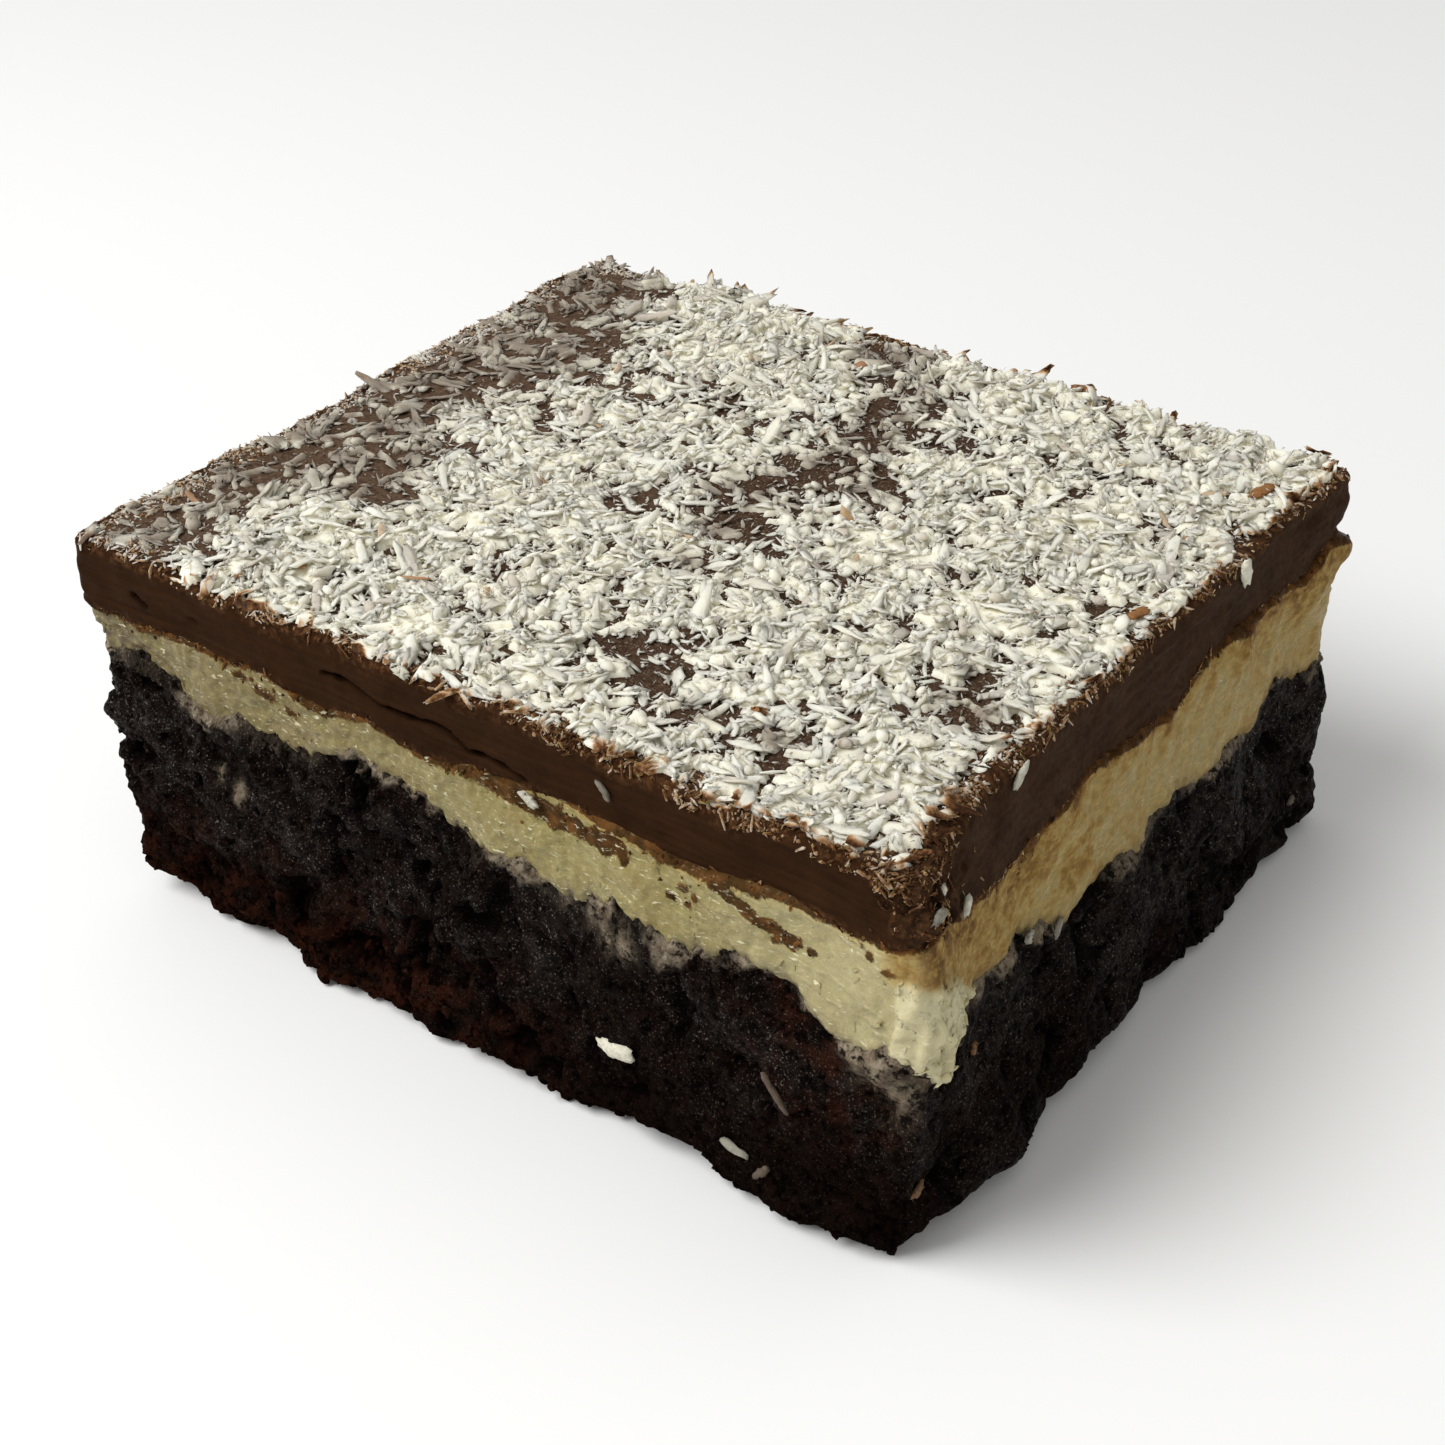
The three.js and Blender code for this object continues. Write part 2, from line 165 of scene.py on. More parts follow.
# Crags on the cut sides: cell size, and how far they reach in and out
BROWNIE_CRAGS = [(7.5, 0.75), (3.4, 0.7)]
FILLING_CRAGS = [(9.0, 0.35), (4.2, 0.4)]
GANACHE_CRAGS = [(14.0, 0.3), (5.5, 0.18)]

# The strewing of the top: its usual share, then spots that change it: middle in plan, reach in x
# and y, and the change
USUAL_COVER = 0.66
LEAST_COVER = 0.14
COVER_SPOTS = [
    (-40, 4, 10, 46, -0.95), (-29, -9, 9, 4.5, -0.4), (-24, -15.5, 8, 3, -0.4), (-30, 15, 8, 6.5, -0.4),
    (-4, 30, 5, 3.5, -0.42), (3.5, 22, 4.5, 8, -0.36), (6, 13, 4.5, 4.5, -0.26), (8, 8, 7, 2.6, -0.4),
    (2, 2, 5, 4.5, -0.36), (4, -4, 4, 2.4, -0.36), (5, -10, 4.5, 2.2, -0.3), (9, -22.5, 3, 1.8, -0.36),
    (13.5, -24.5, 2.4, 1.6, -0.36), (18.5, -26, 2.4, 1.7, -0.4), (25, -26, 2.4, 1.8, -0.42),
    (31, -11, 2.5, 1.8, -0.35), (34, -15.5, 3.5, 2.6, -0.5), (32, 0, 5, 3, -0.15), (-10, 14, 5, 5, -0.2),
    (14, 19, 4, 5, -0.2), (-22, 3, 6, 3, -0.12), (-37, -24, 3, 3.5, 0.35), (-38, 31, 3, 3, 0.4),
    (-14, 26, 7, 8, 0.2), (-15, -8, 9, 8, 0.22), (-18, -25, 10, 5, 0.22), (22, 3, 9, 7, 0.22),
    (18, 26, 8, 7, 0.15), (34, 15, 6, 12, 0.14), (36, -27, 5, 5, 0.22), (22, -12, 8, 5, 0.15),
    (-5, -27, 6, 5, 0.15), (0, -17, 5, 3.5, 0.12),
]

# Rounded crumbs: their reach, and how deep they are set, as shares of their size
CAP_REACH = 0.85
CAP_SUNK = 0.4

# Marks on the front cut side, as x and z, and for a spot its size
GANACHE_CRACK = [
    (-11.4, 33.0), (-9.1, 33.2), (-7.3, 32.8), (-5.2, 32.4), (-2.8, 32.2), (0.0, 32.7),
    (1.8, 32.4), (3.2, 31.4), (4.9, 31.7), (8.7, 31.2),
]
SIDE_CRACK = [(-32.9, 32.6), (-31.5, 32.1)]
CRACK_WIDTH = 0.14
MILK_SPOTS = [
    (14.0, 22.2, 0.9), (15.8, 20.7, 0.8), (17.6, 20.6, 0.9), (9.3, 23.4, 0.9), (11.2, 22.3, 0.8),
    (35.8, 20.6, 1.0), (37.2, 19.4, 1.2), (38.6, 18.6, 1.4), (39.7, 19.6, 1.0), (-26.7, 17.9, 0.5),
    (-23.9, 17.0, 0.6),
]
GANACHE_PIT = (-26.0, 32.4)
LUMP_TOP = [(-34.5, 28.1), (-32.1, 27.4), (-28.5, 24.7), (-23.6, 20.2)]  # on the right side, y and z

# Streaks of cocoa on the filling: their line, the swing, cell and seed of their ragged edge, and
# the distances where they end and where they are full
FILLING_STREAK = (
    [(25.3, 30.1), (27.4, 29.2), (29.5, 28.4), (31.5, 27.3)], 0.5, 0.8, 92, 1.0, 0.4)
GANACHE_SMEAR = (
    [(2.5, 30.2), (6.5, 29.4), (11.0, 28.8), (14.0, 28.7), (17.5, 28.9)], 0.9, 0.9, 98, 1.6, 0.6)

# Spots of cocoa on the filling's front side, as x, z and size
FILLING_SPOTS = [
    (21.9, 26.8, 0.75), (23.1, 28.0, 0.8), (24.1, 27.6, 0.7), (23.4, 26.5, 0.65),
    (30.3, 27.0, 0.6), (32.6, 27.0, 0.6), (-21.4, 29.1, 1.5), (-18.7, 28.5, 2.4), (-16.2, 27.7, 1.4),
    (10.5, 28.8, 3.6), (15.5, 28.5, 1.8), (4.5, 29.2, 2.2), (36.4, 29.3, 0.6), (37.6, 28.7, 0.7),
]

# Warmth of the filling's right side by depth, from 0 at the seam to 1 at the crumb: usually, near the
# dragged corner and far from it. Then the dirt of its front side by x.
WARM_USUAL = [(0.0, 0.7), (0.12, 0.48), (0.3, 0.28), (0.6, 0.2), (1.0, 0.26)]
WARM_NEAR = [(0.0, 0.95), (0.25, 0.72), (0.5, 0.52), (0.75, 0.42), (1.0, 0.42)]
WARM_FAR = [(0.0, 0.95), (0.12, 0.75), (0.3, 0.42), (0.6, 0.25), (1.0, 0.4)]
LEFT_DIRT = [(-40, 1.0), (-34, 0.9), (-28, 0.62), (-14, 0.55), (-2, 0.28), (10, 0.0)]

# Colours that the finishes lay over the crumb, the filling, the ganache and the coconut
# Painted light on the crumb: a grey sheen, highlights on the crests of its relief and small glints
PAINTED_SHEEN = (0.017, 0.0125, 0.010)
PAINTED_CREST_HIGHLIGHT = (0.034, 0.027, 0.023)
CRUMB_GLINT = (0.19, 0.168, 0.148)
MILK_DARK = (0.17, 0.125, 0.085)
MILK_LIGHT = (0.33, 0.275, 0.20)
# Painted shade of the crumb: near black in pits, and dark in the caves of its relief
PAINTED_PIT_SHADE = (0.0015, 0.0010, 0.0008)
PAINTED_CAVE_SHADE = (0.002, 0.001, 0.001)
FILLING_SHADOW = (0.24, 0.18, 0.065)
FILLING_LUMP = (0.70, 0.64, 0.41)
FILLING_DIRT = (0.105, 0.080, 0.048)
FILLING_GLINT = (0.80, 0.76, 0.54)
COCOA_DUST = (0.125, 0.080, 0.052)
COCONUT_POWDER = (0.34, 0.28, 0.22)
RUB_DARK = (0.034, 0.014, 0.006)
RUB_LIGHT = (0.125, 0.058, 0.024)
# Dusty brown coconut on the bare spots, partly painted shade of flakes that lie low there
DUSTY_SHADED_COCONUT = (0.19, 0.147, 0.112)

# Ramps as place and colour: the filling by its warmth, the dark single flakes and the rare brown
# shreds by their shade, and coconut by the cocoa on it
BROWNED = [
    (0.0, (0.38, 0.30, 0.125)), (0.2, (0.38, 0.275, 0.102)), (0.45, (0.31, 0.19, 0.058)),
    (0.72, (0.21, 0.115, 0.031)), (1.0, (0.115, 0.053, 0.017)),
]
CHIP_TONES = [
    (0.0, (0.045, 0.018, 0.008)), (0.13, (0.34, 0.16, 0.06)), (0.3, (0.13, 0.095, 0.07)),
]
RARE_TONES = [
    (0.0, (0.36, 0.17, 0.075)), (0.004, (0.55, 0.38, 0.22)), (0.008, (0.55, 0.485, 0.41)),
]
COCOA_TONES = [
    (0.10, (0.70, 0.58, 0.44)), (0.26, (0.38, 0.22, 0.11)), (0.42, (0.14, 0.062, 0.024)),
    (0.60, (0.045, 0.019, 0.009)), (0.85, (0.016, 0.008, 0.005)),
]

# Flakes and chips set in the sides and on the top: side, place along it, height (or y on the top),
# length, width, turn, shade
SIDE_FLAKES = [
    ("front", 15.8, 9.4, 3.3, 1.7, 0.12, 0.9),
    ("front", 26.2, 5.6, 3.6, 0.8, -0.35, 0.55),
    ("front", 31.3, 14.2, 3.4, 0.6, -0.95, 0.3),
    ("front", 29.6, 5.0, 2.0, 0.7, 0.9, 0.31),
    ("right", -31.6, 7.0, 1.4, 1.1, 0.5, 0.24),
    ("front", 8.9, 29.5, 1.6, 1.0, -0.6, 0.75),
    ("front", 16.4, 33.6, 1.7, 0.5, -0.9, 0.42),
    ("front", -3.0, 36.0, 1.6, 1.1, -0.2, 0.8),
    ("right", -32.6, 33.4, 1.3, 1.0, 0.3, 0.5),
    ("right", -27.2, 30.2, 1.5, 0.8, 1.3, 0.8),
    ("right", -30.6, 33.6, 1.0, 0.6, 1.2, 0.9),
    ("right", -18.6, 35.2, 2.0, 0.9, 0.8, 0.75),
    ("right", 15.6, 34.2, 2.6, 1.5, -1.1, 0.95),
    ("right", -15.8, 19.0, 1.2, 0.9, 1.4, 0.6),
    ("right", -25.2, 16.0, 1.1, 0.5, 1.4, 0.2),
    ("right", -12.0, 17.4, 1.6, 0.5, 1.1, 0.5),
    ("right", 28.4, 5.0, 0.9, 0.7, 0.5, 0.35),
    ("top", 33.5, -20.9, 2.4, 1.6, 0.5, 1.0),
    ("top", 37.0, -21.6, 2.0, 1.5, -0.3, 0.9),
    ("top", 27.3, 31.6, 2.6, 1.2, 1.2, 0.02),
    ("top", 36.9, 25.1, 2.8, 1.2, 1.3, 0.12),
    ("top", 37.5, 2.7, 2.2, 1.0, 1.4, 0.14),
    ("top", 15.9, 32.8, 2.0, 1.2, 0.2, 0.15),
    ("top", 22.2, -23.7, 1.0, 0.9, 0.2, 0.13),
]


def length_setting(name, description, default, least):
    """A size in metres."""
    return FloatProperty(
        name=name, description=description, default=default, min=least, subtype="DISTANCE",
        unit="LENGTH")


def angle_setting(name, description, degrees, least=-math.pi):
    """An angle, whose default is given in degrees."""
    return FloatProperty(
        name=name, description=description, default=math.radians(degrees), min=least,
        subtype="ANGLE", unit="ROTATION")


def amount_setting(name, description, default, least=0.0):
    """A number without a unit."""
    return FloatProperty(name=name, description=description, default=default, min=least)


def colour_setting(name, description, *default):
    """A colour by its red, green and blue."""
    return FloatVectorProperty(
        name=name, description=description, default=default, subtype="COLOR", size=3, min=0.0,
        max=1.0)


class SliceSizes(bpy.types.PropertyGroup):
    """Driving sizes of the slice."""

    length: length_setting("Length", "Length of the front cut side", 0.080, 0.02)
    width: length_setting("Width", "Depth of the slice from front to back", 0.068, 0.02)
    corner_radius: length_setting("Corner radius", "Rounding of the upright corners", 0.0018, 0.0005)
    foot_round: length_setting("Foot rounding", "Wear of the lower edge", 0.0029, 0.001)
    edge_round: length_setting(
        "Ganache edge", "Rounding of the ganache's upper edge", 0.00085, 0.0002)
    columns: IntProperty(
        name="Columns", description="Mesh points round the slice", default=1000, min=200)


class Strewing(bpy.types.PropertyGroup):
    """How the loose coconut lies."""

    long_count: amount_setting("Long shreds", "Long shreds for each square centimetre", 12.0)
    short_count: amount_setting("Short shreds", "Short shreds for each square centimetre", 56.0)
    chip_count: amount_setting("Chips", "Blocky chips for each square centimetre", 22.0)
    bit_count: amount_setting("Bits", "Fine slivers for each square centimetre", 115.0)
    dust_count: amount_setting("Dust", "Coconut dust for each square centimetre", 230.0)
    pile: length_setting("Pile", "Height of the heaped coconut where it lies thick", 0.00085, 0.0)
    tilt: angle_setting("Tilt", "Most that a shred leans out of the surface", 24.0, 0.0)
    seed: IntProperty(name="Seed", description="Draw of the strewing", default=7, min=0)


class Finishes(bpy.types.PropertyGroup):
    """Colours of the slice."""

    crumb: colour_setting("Crumb", "Dark brownie crumb", 0.0066, 0.0038, 0.0028)
    crumb_red: colour_setting("Red crumb", "Crumb where cocoa shows red", 0.026, 0.0076, 0.0040)
    filling: colour_setting("Filling", "Coconut filling", 0.290, 0.245, 0.103)
    filling_light: colour_setting(
        "Filling strands", "Coconut strands in the filling", 0.435, 0.375, 0.210)
    stain: colour_setting("Stain", "Cocoa stain on the filling", 0.145, 0.058, 0.016)
    ganache: colour_setting("Ganache", "Chocolate ganache", 0.0255, 0.0113, 0.0052)
    coconut: colour_setting("Coconut", "Coconut flakes", 0.93, 0.89, 0.725)


class StageSettings(bpy.types.PropertyGroup):
    """Camera and light."""

    azimuth: angle_setting("Azimuth", "Camera's turn round the slice from the front side", 38.401)
    elevation: angle_setting("Elevation", "Camera's height as an angle", 34.207)
    roll: angle_setting("Roll", "Camera's turn about its own axis", -2.446)
    distance: length_setting("Distance", "Camera's distance from the slice's foot", 0.20869, 0.05)
    aim_right: length_setting(
        "Aim right", "Where the slice's foot lies right of the picture's middle", 0.000452, -0.1)
    aim_up: length_setting(
        "Aim up", "Where the slice's foot lies over the picture's middle", -0.011293, -0.1)
    lens: amount_setting("Lens", "Focal length in millimetres", 57.354, 10.0)
    key_power: FloatProperty(
        name="Key light", description="Power of the soft light over the slice", default=5.0,
        min=0.0, subtype="POWER", unit="POWER")
    sky_strength: amount_setting("Sky light", "Strength of the even light from all round", 0.49)


def smoothstep(low, high, values):
    """0 at low, 1 at high and smooth between them, whichever of the two is larger."""
    t = np.clip((values - low) / (high - low), 0.0, 1.0)
    return t * t * (3.0 - 2.0 * t)


def falloff(distance, reach):
    """1 at no distance, and hardly anything at twice the reach."""
    return np.exp(-((distance / reach) ** 2))


def hashed(i, j, k, seed):
    """A repeatable value from 0 to 1 for each cell of a grid."""
    factor_i, factor_j, factor_k = CELL_FACTORS
    mixed = (i * factor_i + j * factor_j + k * factor_k + seed * SEED_FACTOR) & ALL_BITS
    mixed = ((mixed ^ (mixed >> 13)) * SEED_FACTOR) & ALL_BITS
    return ((mixed ^ (mixed >> 16)) & ALL_BITS) / (ALL_BITS + 1.0)


def noise(points, cell, seed):
    """Smooth noise from 0 to 1 at points, with cells of a size. The seed picks one of many."""
    scaled = points / cell + GRID_SHIFT
    low = np.floor(scaled).astype(np.int64)
    blend = scaled - low
    blend = blend * blend * (3.0 - 2.0 * blend)
    total = np.zeros(len(points))
    for corner in range(8):
        step = np.array([corner & 1, (corner >> 1) & 1, corner >> 2])
        weight = np.prod(np.where(step, blend, 1.0 - blend), axis=1)
        i, j, k = (low + step).T
        total += weight * hashed(i, j, k, seed)
    return total


def fractal(points, cell, seed, octaves=3):
    """Noise from about -1 to 1 with finer noise on top."""
    total = np.zeros(len(points))
    weight, most = 1.0, 0.0
    for octave in range(octaves):
        total += weight * (2.0 * noise(points, cell / 2.0**octave, seed + octave) - 1.0)
        most += weight
        weight *= 0.5
    return total / most * FRACTAL_GAIN


def patches(points, cell, seed, low=0.35, high=0.65):
    """Soft-edged patches of noise, from 0 between them to 1 in them."""
    return smoothstep(low, high, noise(points, cell, seed))


def warped(points, reach, cell, seed):
    """Points shifted by noise, so that a pattern on them loses its grid."""
    shifts = [fractal(points, cell, seed + axis, 2) for axis in range(3)]
    return points + reach * np.stack(shifts, axis=1)


def flat_points(first, second):
    """Points with two coordinates and a third of 0, one in each row."""
    return np.stack([first, second, np.zeros_like(first)], axis=-1).reshape(-1, 3)


def crumb_cells(points, size, seed):
    """Distance to the nearest of scattered crumb middles, in cells, and that crumb's own value."""
    scaled = points / size + GRID_SHIFT
    low = np.floor(scaled).astype(np.int64)
    nearest = np.full(len(points), np.inf)
    value = np.zeros(len(points))
    for step in np.ndindex(3, 3, 3):
        i, j, k = (low + np.array(step) - 1).T
        middle = np.stack([hashed(i, j, k, seed + axis) for axis in range(3)], axis=1)
        offset = np.stack([i, j, k], axis=1) + middle - scaled
        distance = np.sqrt((offset * offset).sum(axis=1))
        closer = distance < nearest
        nearest = np.where(closer, distance, nearest)
        value = np.where(closer, hashed(i, j, k, seed + 3), value)
    return nearest, value


def crag_noise(x, y, z):
    """Smooth noise from -1 to 1, the same as the CAD part's own."""
    points = np.stack([x, y, z])
    low = np.floor(points)
    blend = points - low
    blend = blend * blend * (3.0 - 2.0 * blend)
    total = np.zeros_like(x)
    for corner in range(8):
        step = (corner & 1, (corner >> 1) & 1, corner >> 2)
        weight = np.ones_like(x)
        for axis in range(3):
            weight = weight * (blend[axis] if step[axis] else 1.0 - blend[axis])
        wave = np.sin(sum((low[axis] + step[axis]) * CRAG_WAVES[axis] for axis in range(3)))
        wave = wave * CRAG_SWING
        total += weight * (wave - np.floor(wave))
    return 2.0 * total - 1.0


def line_distance(x, z, line):
    """Distance of points of a cut side from a line of points on it."""
    nearest = np.full(x.shape, np.inf)
    for (x0, z0), (x1, z1) in zip(line, line[1:]):
        ahead = np.array([x1 - x0, z1 - z0])
        along = ((x - x0) * ahead[0] + (z - z0) * ahead[1]) / (ahead @ ahead)
        along = np.clip(along, 0.0, 1.0)
        distance = np.hypot(x - x0 - along * ahead[0], z - z0 - along * ahead[1])
        nearest = np.minimum(nearest, distance)
    return nearest


def clipped(**marks):
    """Marks of a surface, each kept from 0 to 1."""
    return {key: np.clip(values, 0.0, 1.0) for key, values in marks.items()}


class SliceForm:
    """The slice's main form, in millimetres, as in the CAD part."""

    FRONT_SHARE = 0.6  # of the mesh columns, on the front and right sides

    def __init__(self, sizes):
        self.length = sizes.length / MM
        self.width = sizes.width / MM
        self.radius = sizes.corner_radius / MM
        self.foot_round = sizes.foot_round / MM
        self.edge_round = sizes.edge_round / MM
        half = np.linspace(0.0, 0.5, round(sizes.columns * self.FRONT_SHARE), endpoint=False)
        rest = np.linspace(0.5, 1.0, sizes.columns - len(half), endpoint=False)
        self.turns = np.concatenate([half, rest])
        self.x, self.y, self.nx, self.ny = self.outline(self.turns)
        sides = 2.0 * (self.length + self.width - 4.0 * self.radius)
        self.around = self.turns * (sides + 2.0 * math.pi * self.radius)

    def outline(self, turns):
        """Points of the outline in plan and their outward directions, from 0 to 1 round it."""
        half_x = self.length / 2 - self.radius
        half_y = self.width / 2 - self.radius
        arc = math.pi / 2 * self.radius
        corners = [(half_x, -half_y), (half_x, half_y), (-half_x, half_y), (-half_x, -half_y)]
        sides = [2 * half_x, 2 * half_y, 2 * half_x, 2 * half_y]
        along = np.mod(turns, 1.0) * (sum(sides) + 4 * arc)
        x, y, nx, ny = (np.zeros_like(turns) for _ in range(4))
        start = 0.0
        for side, ((corner_x, corner_y), length) in enumerate(zip(corners, sides)):
            here = (along >= start) & (along < start + length + arc)
            past = np.maximum(along - start - length, 0.0)
            before = np.maximum(length - (along - start), 0.0)
            angle = (side - 1) * math.pi / 2 + past / self.radius
            outward_x, outward_y = np.cos(angle), np.sin(angle)
            x = np.where(here, corner_x + self.radius * outward_x + outward_y * before, x)
            y = np.where(here, corner_y + self.radius * outward_y - outward_x * before, y)
            nx = np.where(here, outward_x, nx)
            ny = np.where(here, outward_y, ny)
            start += length + arc
        return x, y, nx, ny

    def border(self, border, x, y):
        """A border's height inside the slice."""
        front_left, front_right, back_right, back_left = border["corners"]
        u = x / self.length + 0.5
        v = y / self.width + 0.5
        front = front_left + (front_right - front_left) * u
        back = back_left + (back_right - back_left) * u
        height = front + (back - front) * v
        for hump_x, hump_y, reach, rise in border["humps"]:
            height = height + rise * falloff(np.hypot(x - hump_x, y - hump_y), reach)
        return height

    def waves(self, waves, turns):
        """The sum of waves round the slice."""
        angle = 2.0 * math.pi * turns
        return sum(swing * np.sin(cycles * angle + phase) for cycles, swing, phase in waves)

    def rim(self, border, scale=1.0, fade=1.0):
        """A border's height on a ring of the outline's columns."""
        height = self.border(border, scale * self.x, scale * self.y)
        return height + fade * self.waves(border["waves"], self.turns)

    def shifted(self, x, y, z):
        """How the cut shifts a point of the plan at a height."""
        side = x / (self.length / 2)
        foot = FOOT_SPREAD * np.maximum(0.0, side) * np.maximum(0.0, 1.0 - z / FOOT_HEIGHT)
        step = LEFT_STEP * np.maximum(0.0, -side) * (z < LEFT_STEP_HEIGHT)
        px, py = x + foot + step, y
        for pull_x, pull_y, reach, height, spread, shift_x, shift_y in PULLS:
            distance = np.hypot(x - pull_x, y - pull_y) / reach
            share = np.exp(-(distance**2) - ((z - height) / spread) ** 2)
            px, py = px + share * shift_x, py + share * shift_y
        return px, py

    def crags(self, crags, x, y, z):
        """How far the crags reach out of the cut sides."""
        return sum(reach * crag_noise(x / cell, y / cell, z / cell) for cell, reach in crags)


class LayerGrid:
    """Rows of points round the slice, lowest first, that close into one layer."""

    def __init__(self, form):
        self.form = form
        self.rows = []

    def row(self, z, scale=1.0, inset=0.0, rough=1.0):
        """One ring: its height, scale about the middle, inset and share of the relief."""
        size = len(self.form.turns)
        values = (z, scale, inset, rough)
        self.rows.append([np.broadcast_to(np.asarray(value, float), size) for value in values])

    def inner_rings(self, border, scales, inset):
        """Rings inside the layer, on one of its borders."""
        for scale in scales:
            self.row(self.form.rim(border, scale, 0.0), scale, inset=inset * scale, rough=0.0)

    def spread(self, values):
        """A value of each column, for each point of every row."""
        return np.broadcast_to(values, self.around.shape).ravel()

    def place(self, crags, relief):
        """Works out the points. relief gives an outward reach for each point of the plain form."""
        form = self.form
        z, scale, inset, rough = (np.stack([row[i] for row in self.rows]) for i in range(4))
        x = np.broadcast_to(form.x, z.shape)
        y = np.broadcast_to(form.y, z.shape)
        self.plain = np.stack([x, y, z], axis=-1)
        self.around = np.broadcast_to(form.around, z.shape)
        out = form.crags(crags, x, y, z)
        out = out + relief(self.plain.reshape(-1, 3), self.around.ravel()).reshape(z.shape)
        out = rough * out - inset
        px, py = form.shifted(scale * x + out * form.nx, scale * y + out * form.ny, z)
        self.points = np.stack([px, py, z], axis=-1)
        return self


def add_object(name, data):
    """A new object in the scene, at the origin."""
    made = bpy.data.objects.new(name, data)
    bpy.context.scene.collection.objects.link(made)
    return made


def mesh_from(name, points, faces):
    """A mesh object from points in the slice's frame in millimetres."""
    mesh = bpy.data.meshes.new(name)
    placed = (points + CENTRE_SHIFT) * MM
    mesh.vertices.add(len(placed))
    mesh.vertices.foreach_set("co", placed.astype(np.float32).ravel())
    sizes = np.concatenate([np.full(len(group), group.shape[1]) for group in faces])
    corners = np.concatenate([group.ravel() for group in faces])
    mesh.loops.add(len(corners))
    mesh.loops.foreach_set("vertex_index", corners.astype(np.int32))
    mesh.polygons.add(len(sizes))
    starts = np.concatenate([[0], np.cumsum(sizes)[:-1]])
    mesh.polygons.foreach_set("loop_start", starts.astype(np.int32))
    mesh.polygons.foreach_set("use_smooth", np.ones(len(sizes), bool))
    mesh.update(calc_edges=True)
    mesh.validate()
    return add_object(name, mesh)


def band_faces(rows, columns):
    """Quads between the rows of a closed ring of columns, facing outwards."""
    row = np.arange(rows - 1)[:, None] * columns
    column = np.arange(columns)[None, :]
    following = (column + 1) % columns
    quads = np.stack(
        [row + column, row + following, row + columns + following, row + columns + column], axis=-1)
    return quads.reshape(-1, 4)


def tucked(near, reach):
    """How far a side draws in near a border, in a quarter circle as near goes from 0 to 1."""
    return reach * (1.0 - np.sqrt(1.0 - near**2 * ALMOST_FULL))


def closed_layer(name, grid, attributes):
    """A layer's mesh with its lowest and highest rings closed to a middle point."""
    rows, columns, _ = grid.points.shape
    middles = grid.points[[0, -1]].mean(axis=1)
    points = np.concatenate([grid.points.reshape(-1, 3), middles])
    column = np.arange(columns)
    following = (column + 1) % columns
    low = np.full(columns, rows * columns)
    top = (rows - 1) * columns
    bottom_fan = np.stack([following, column, low], axis=-1)
    top_fan = np.stack([top + column, top + following, low + 1], axis=-1)
    obj = mesh_from(name, points, [band_faces(rows, columns), bottom_fan, top_fan])
    for key, values in attributes.items():
        flat = np.asarray(values, float).reshape(-1)
        paint(obj, key, np.concatenate([flat, [flat[0], flat[-1]]]))
    return obj


def paint(obj, key, values):
    """Gives a mesh a named value at each point."""
    layer = obj.data.attributes.new(key, "FLOAT", "POINT")
    layer.data.foreach_set("value", np.ascontiguousarray(values, np.float32))


def bed(name, grid, rows, attributes):
    """A helper surface from some rows of a layer, for pieces to be strewn on."""
    points = grid.points[rows]
    count, columns, _ = points.shape
    obj = mesh_from(name, points.reshape(-1, 3), [band_faces(count, columns)])
    for key, values in attributes.items():
        paint(obj, key, np.asarray(values, float).reshape(grid.around.shape)[rows].ravel())
    return obj


# Strewn pieces

def shred_mesh(name, length, width, thickness, draw, sides=6, stations=5, bend=0.12, arch=0.1,
               twist=0.5, uneven=1.0):
    """A plump shred with uneven flanks and blunt ends, bent, arched and twisted."""
    t = np.linspace(-1.0, 1.0, stations)
    taper = np.sqrt(1.0 - 0.72 * t**4)[:, None]
    flat_side_up = 0.5 if sides == 4 else 0.0
    angle = 2.0 * math.pi * (np.arange(sides) + flat_side_up) / sides
    shape = (stations, sides)
    y = width / 2 * taper * np.cos(angle) * (1.0 + uneven * draw.uniform(-0.6, 0.5, shape))
    z = thickness / 2 * taper * np.sin(angle) * (1.0 + uneven * draw.uniform(-0.5, 0.5, shape))
    x = (t * length / 2)[:, None] + uneven * draw.uniform(-0.5, 0.5, shape) * width
    turn = (t * draw.uniform(-twist, twist))[:, None]
    bent = (length * draw.uniform(-bend, bend) * t**2)[:, None]
    arched = (length * draw.uniform(-arch, arch) * t**2)[:, None]
    turned_y = y * np.cos(turn) - z * np.sin(turn) + bent
    turned_z = y * np.sin(turn) + z * np.cos(turn) + arched
    points = np.stack([x, turned_y, turned_z], axis=-1)
    faces = []
    for row in range(stations - 1):
        for side in range(sides):
            a, b = sides * row + side, sides * row + (side + 1) % sides
            faces.append((a, b, b + sides, a + sides))
    last = sides * (stations - 1)
    faces += [tuple(range(sides)), tuple(range(last, last + sides))]
    return piece_object(name, points.reshape(-1, 3), faces, smooth=True)


def shreds(name, count, lengths, widths, thickness, draw, **form):
    """Several shreds with lengths and widths between two values."""
    return [
        shred_mesh(f"{name}_{n}", draw.uniform(*lengths), draw.uniform(*widths), thickness, draw, **form)
        for n in range(count)
    ]


def lump_mesh(name, size, flatness, ragged, detail, draw, smooth=False):
    """An uneven crumb or chip from a rounded block."""
    sphere = bmesh.new()
    bmesh.ops.create_icosphere(sphere, subdivisions=detail, radius=0.5)
    points = np.array([vert.co[:] for vert in sphere.verts])
    faces = [tuple(vert.index for vert in face.verts) for face in sphere.faces]
    sphere.free()
    stretch = np.array([draw.uniform(0.8, 1.25), draw.uniform(0.65, 1.0), flatness])
    swell = 1.0 + ragged * draw.uniform(-1.0, 1.0, len(points))
    return piece_object(name, points * swell[:, None] * stretch * size, faces, smooth)


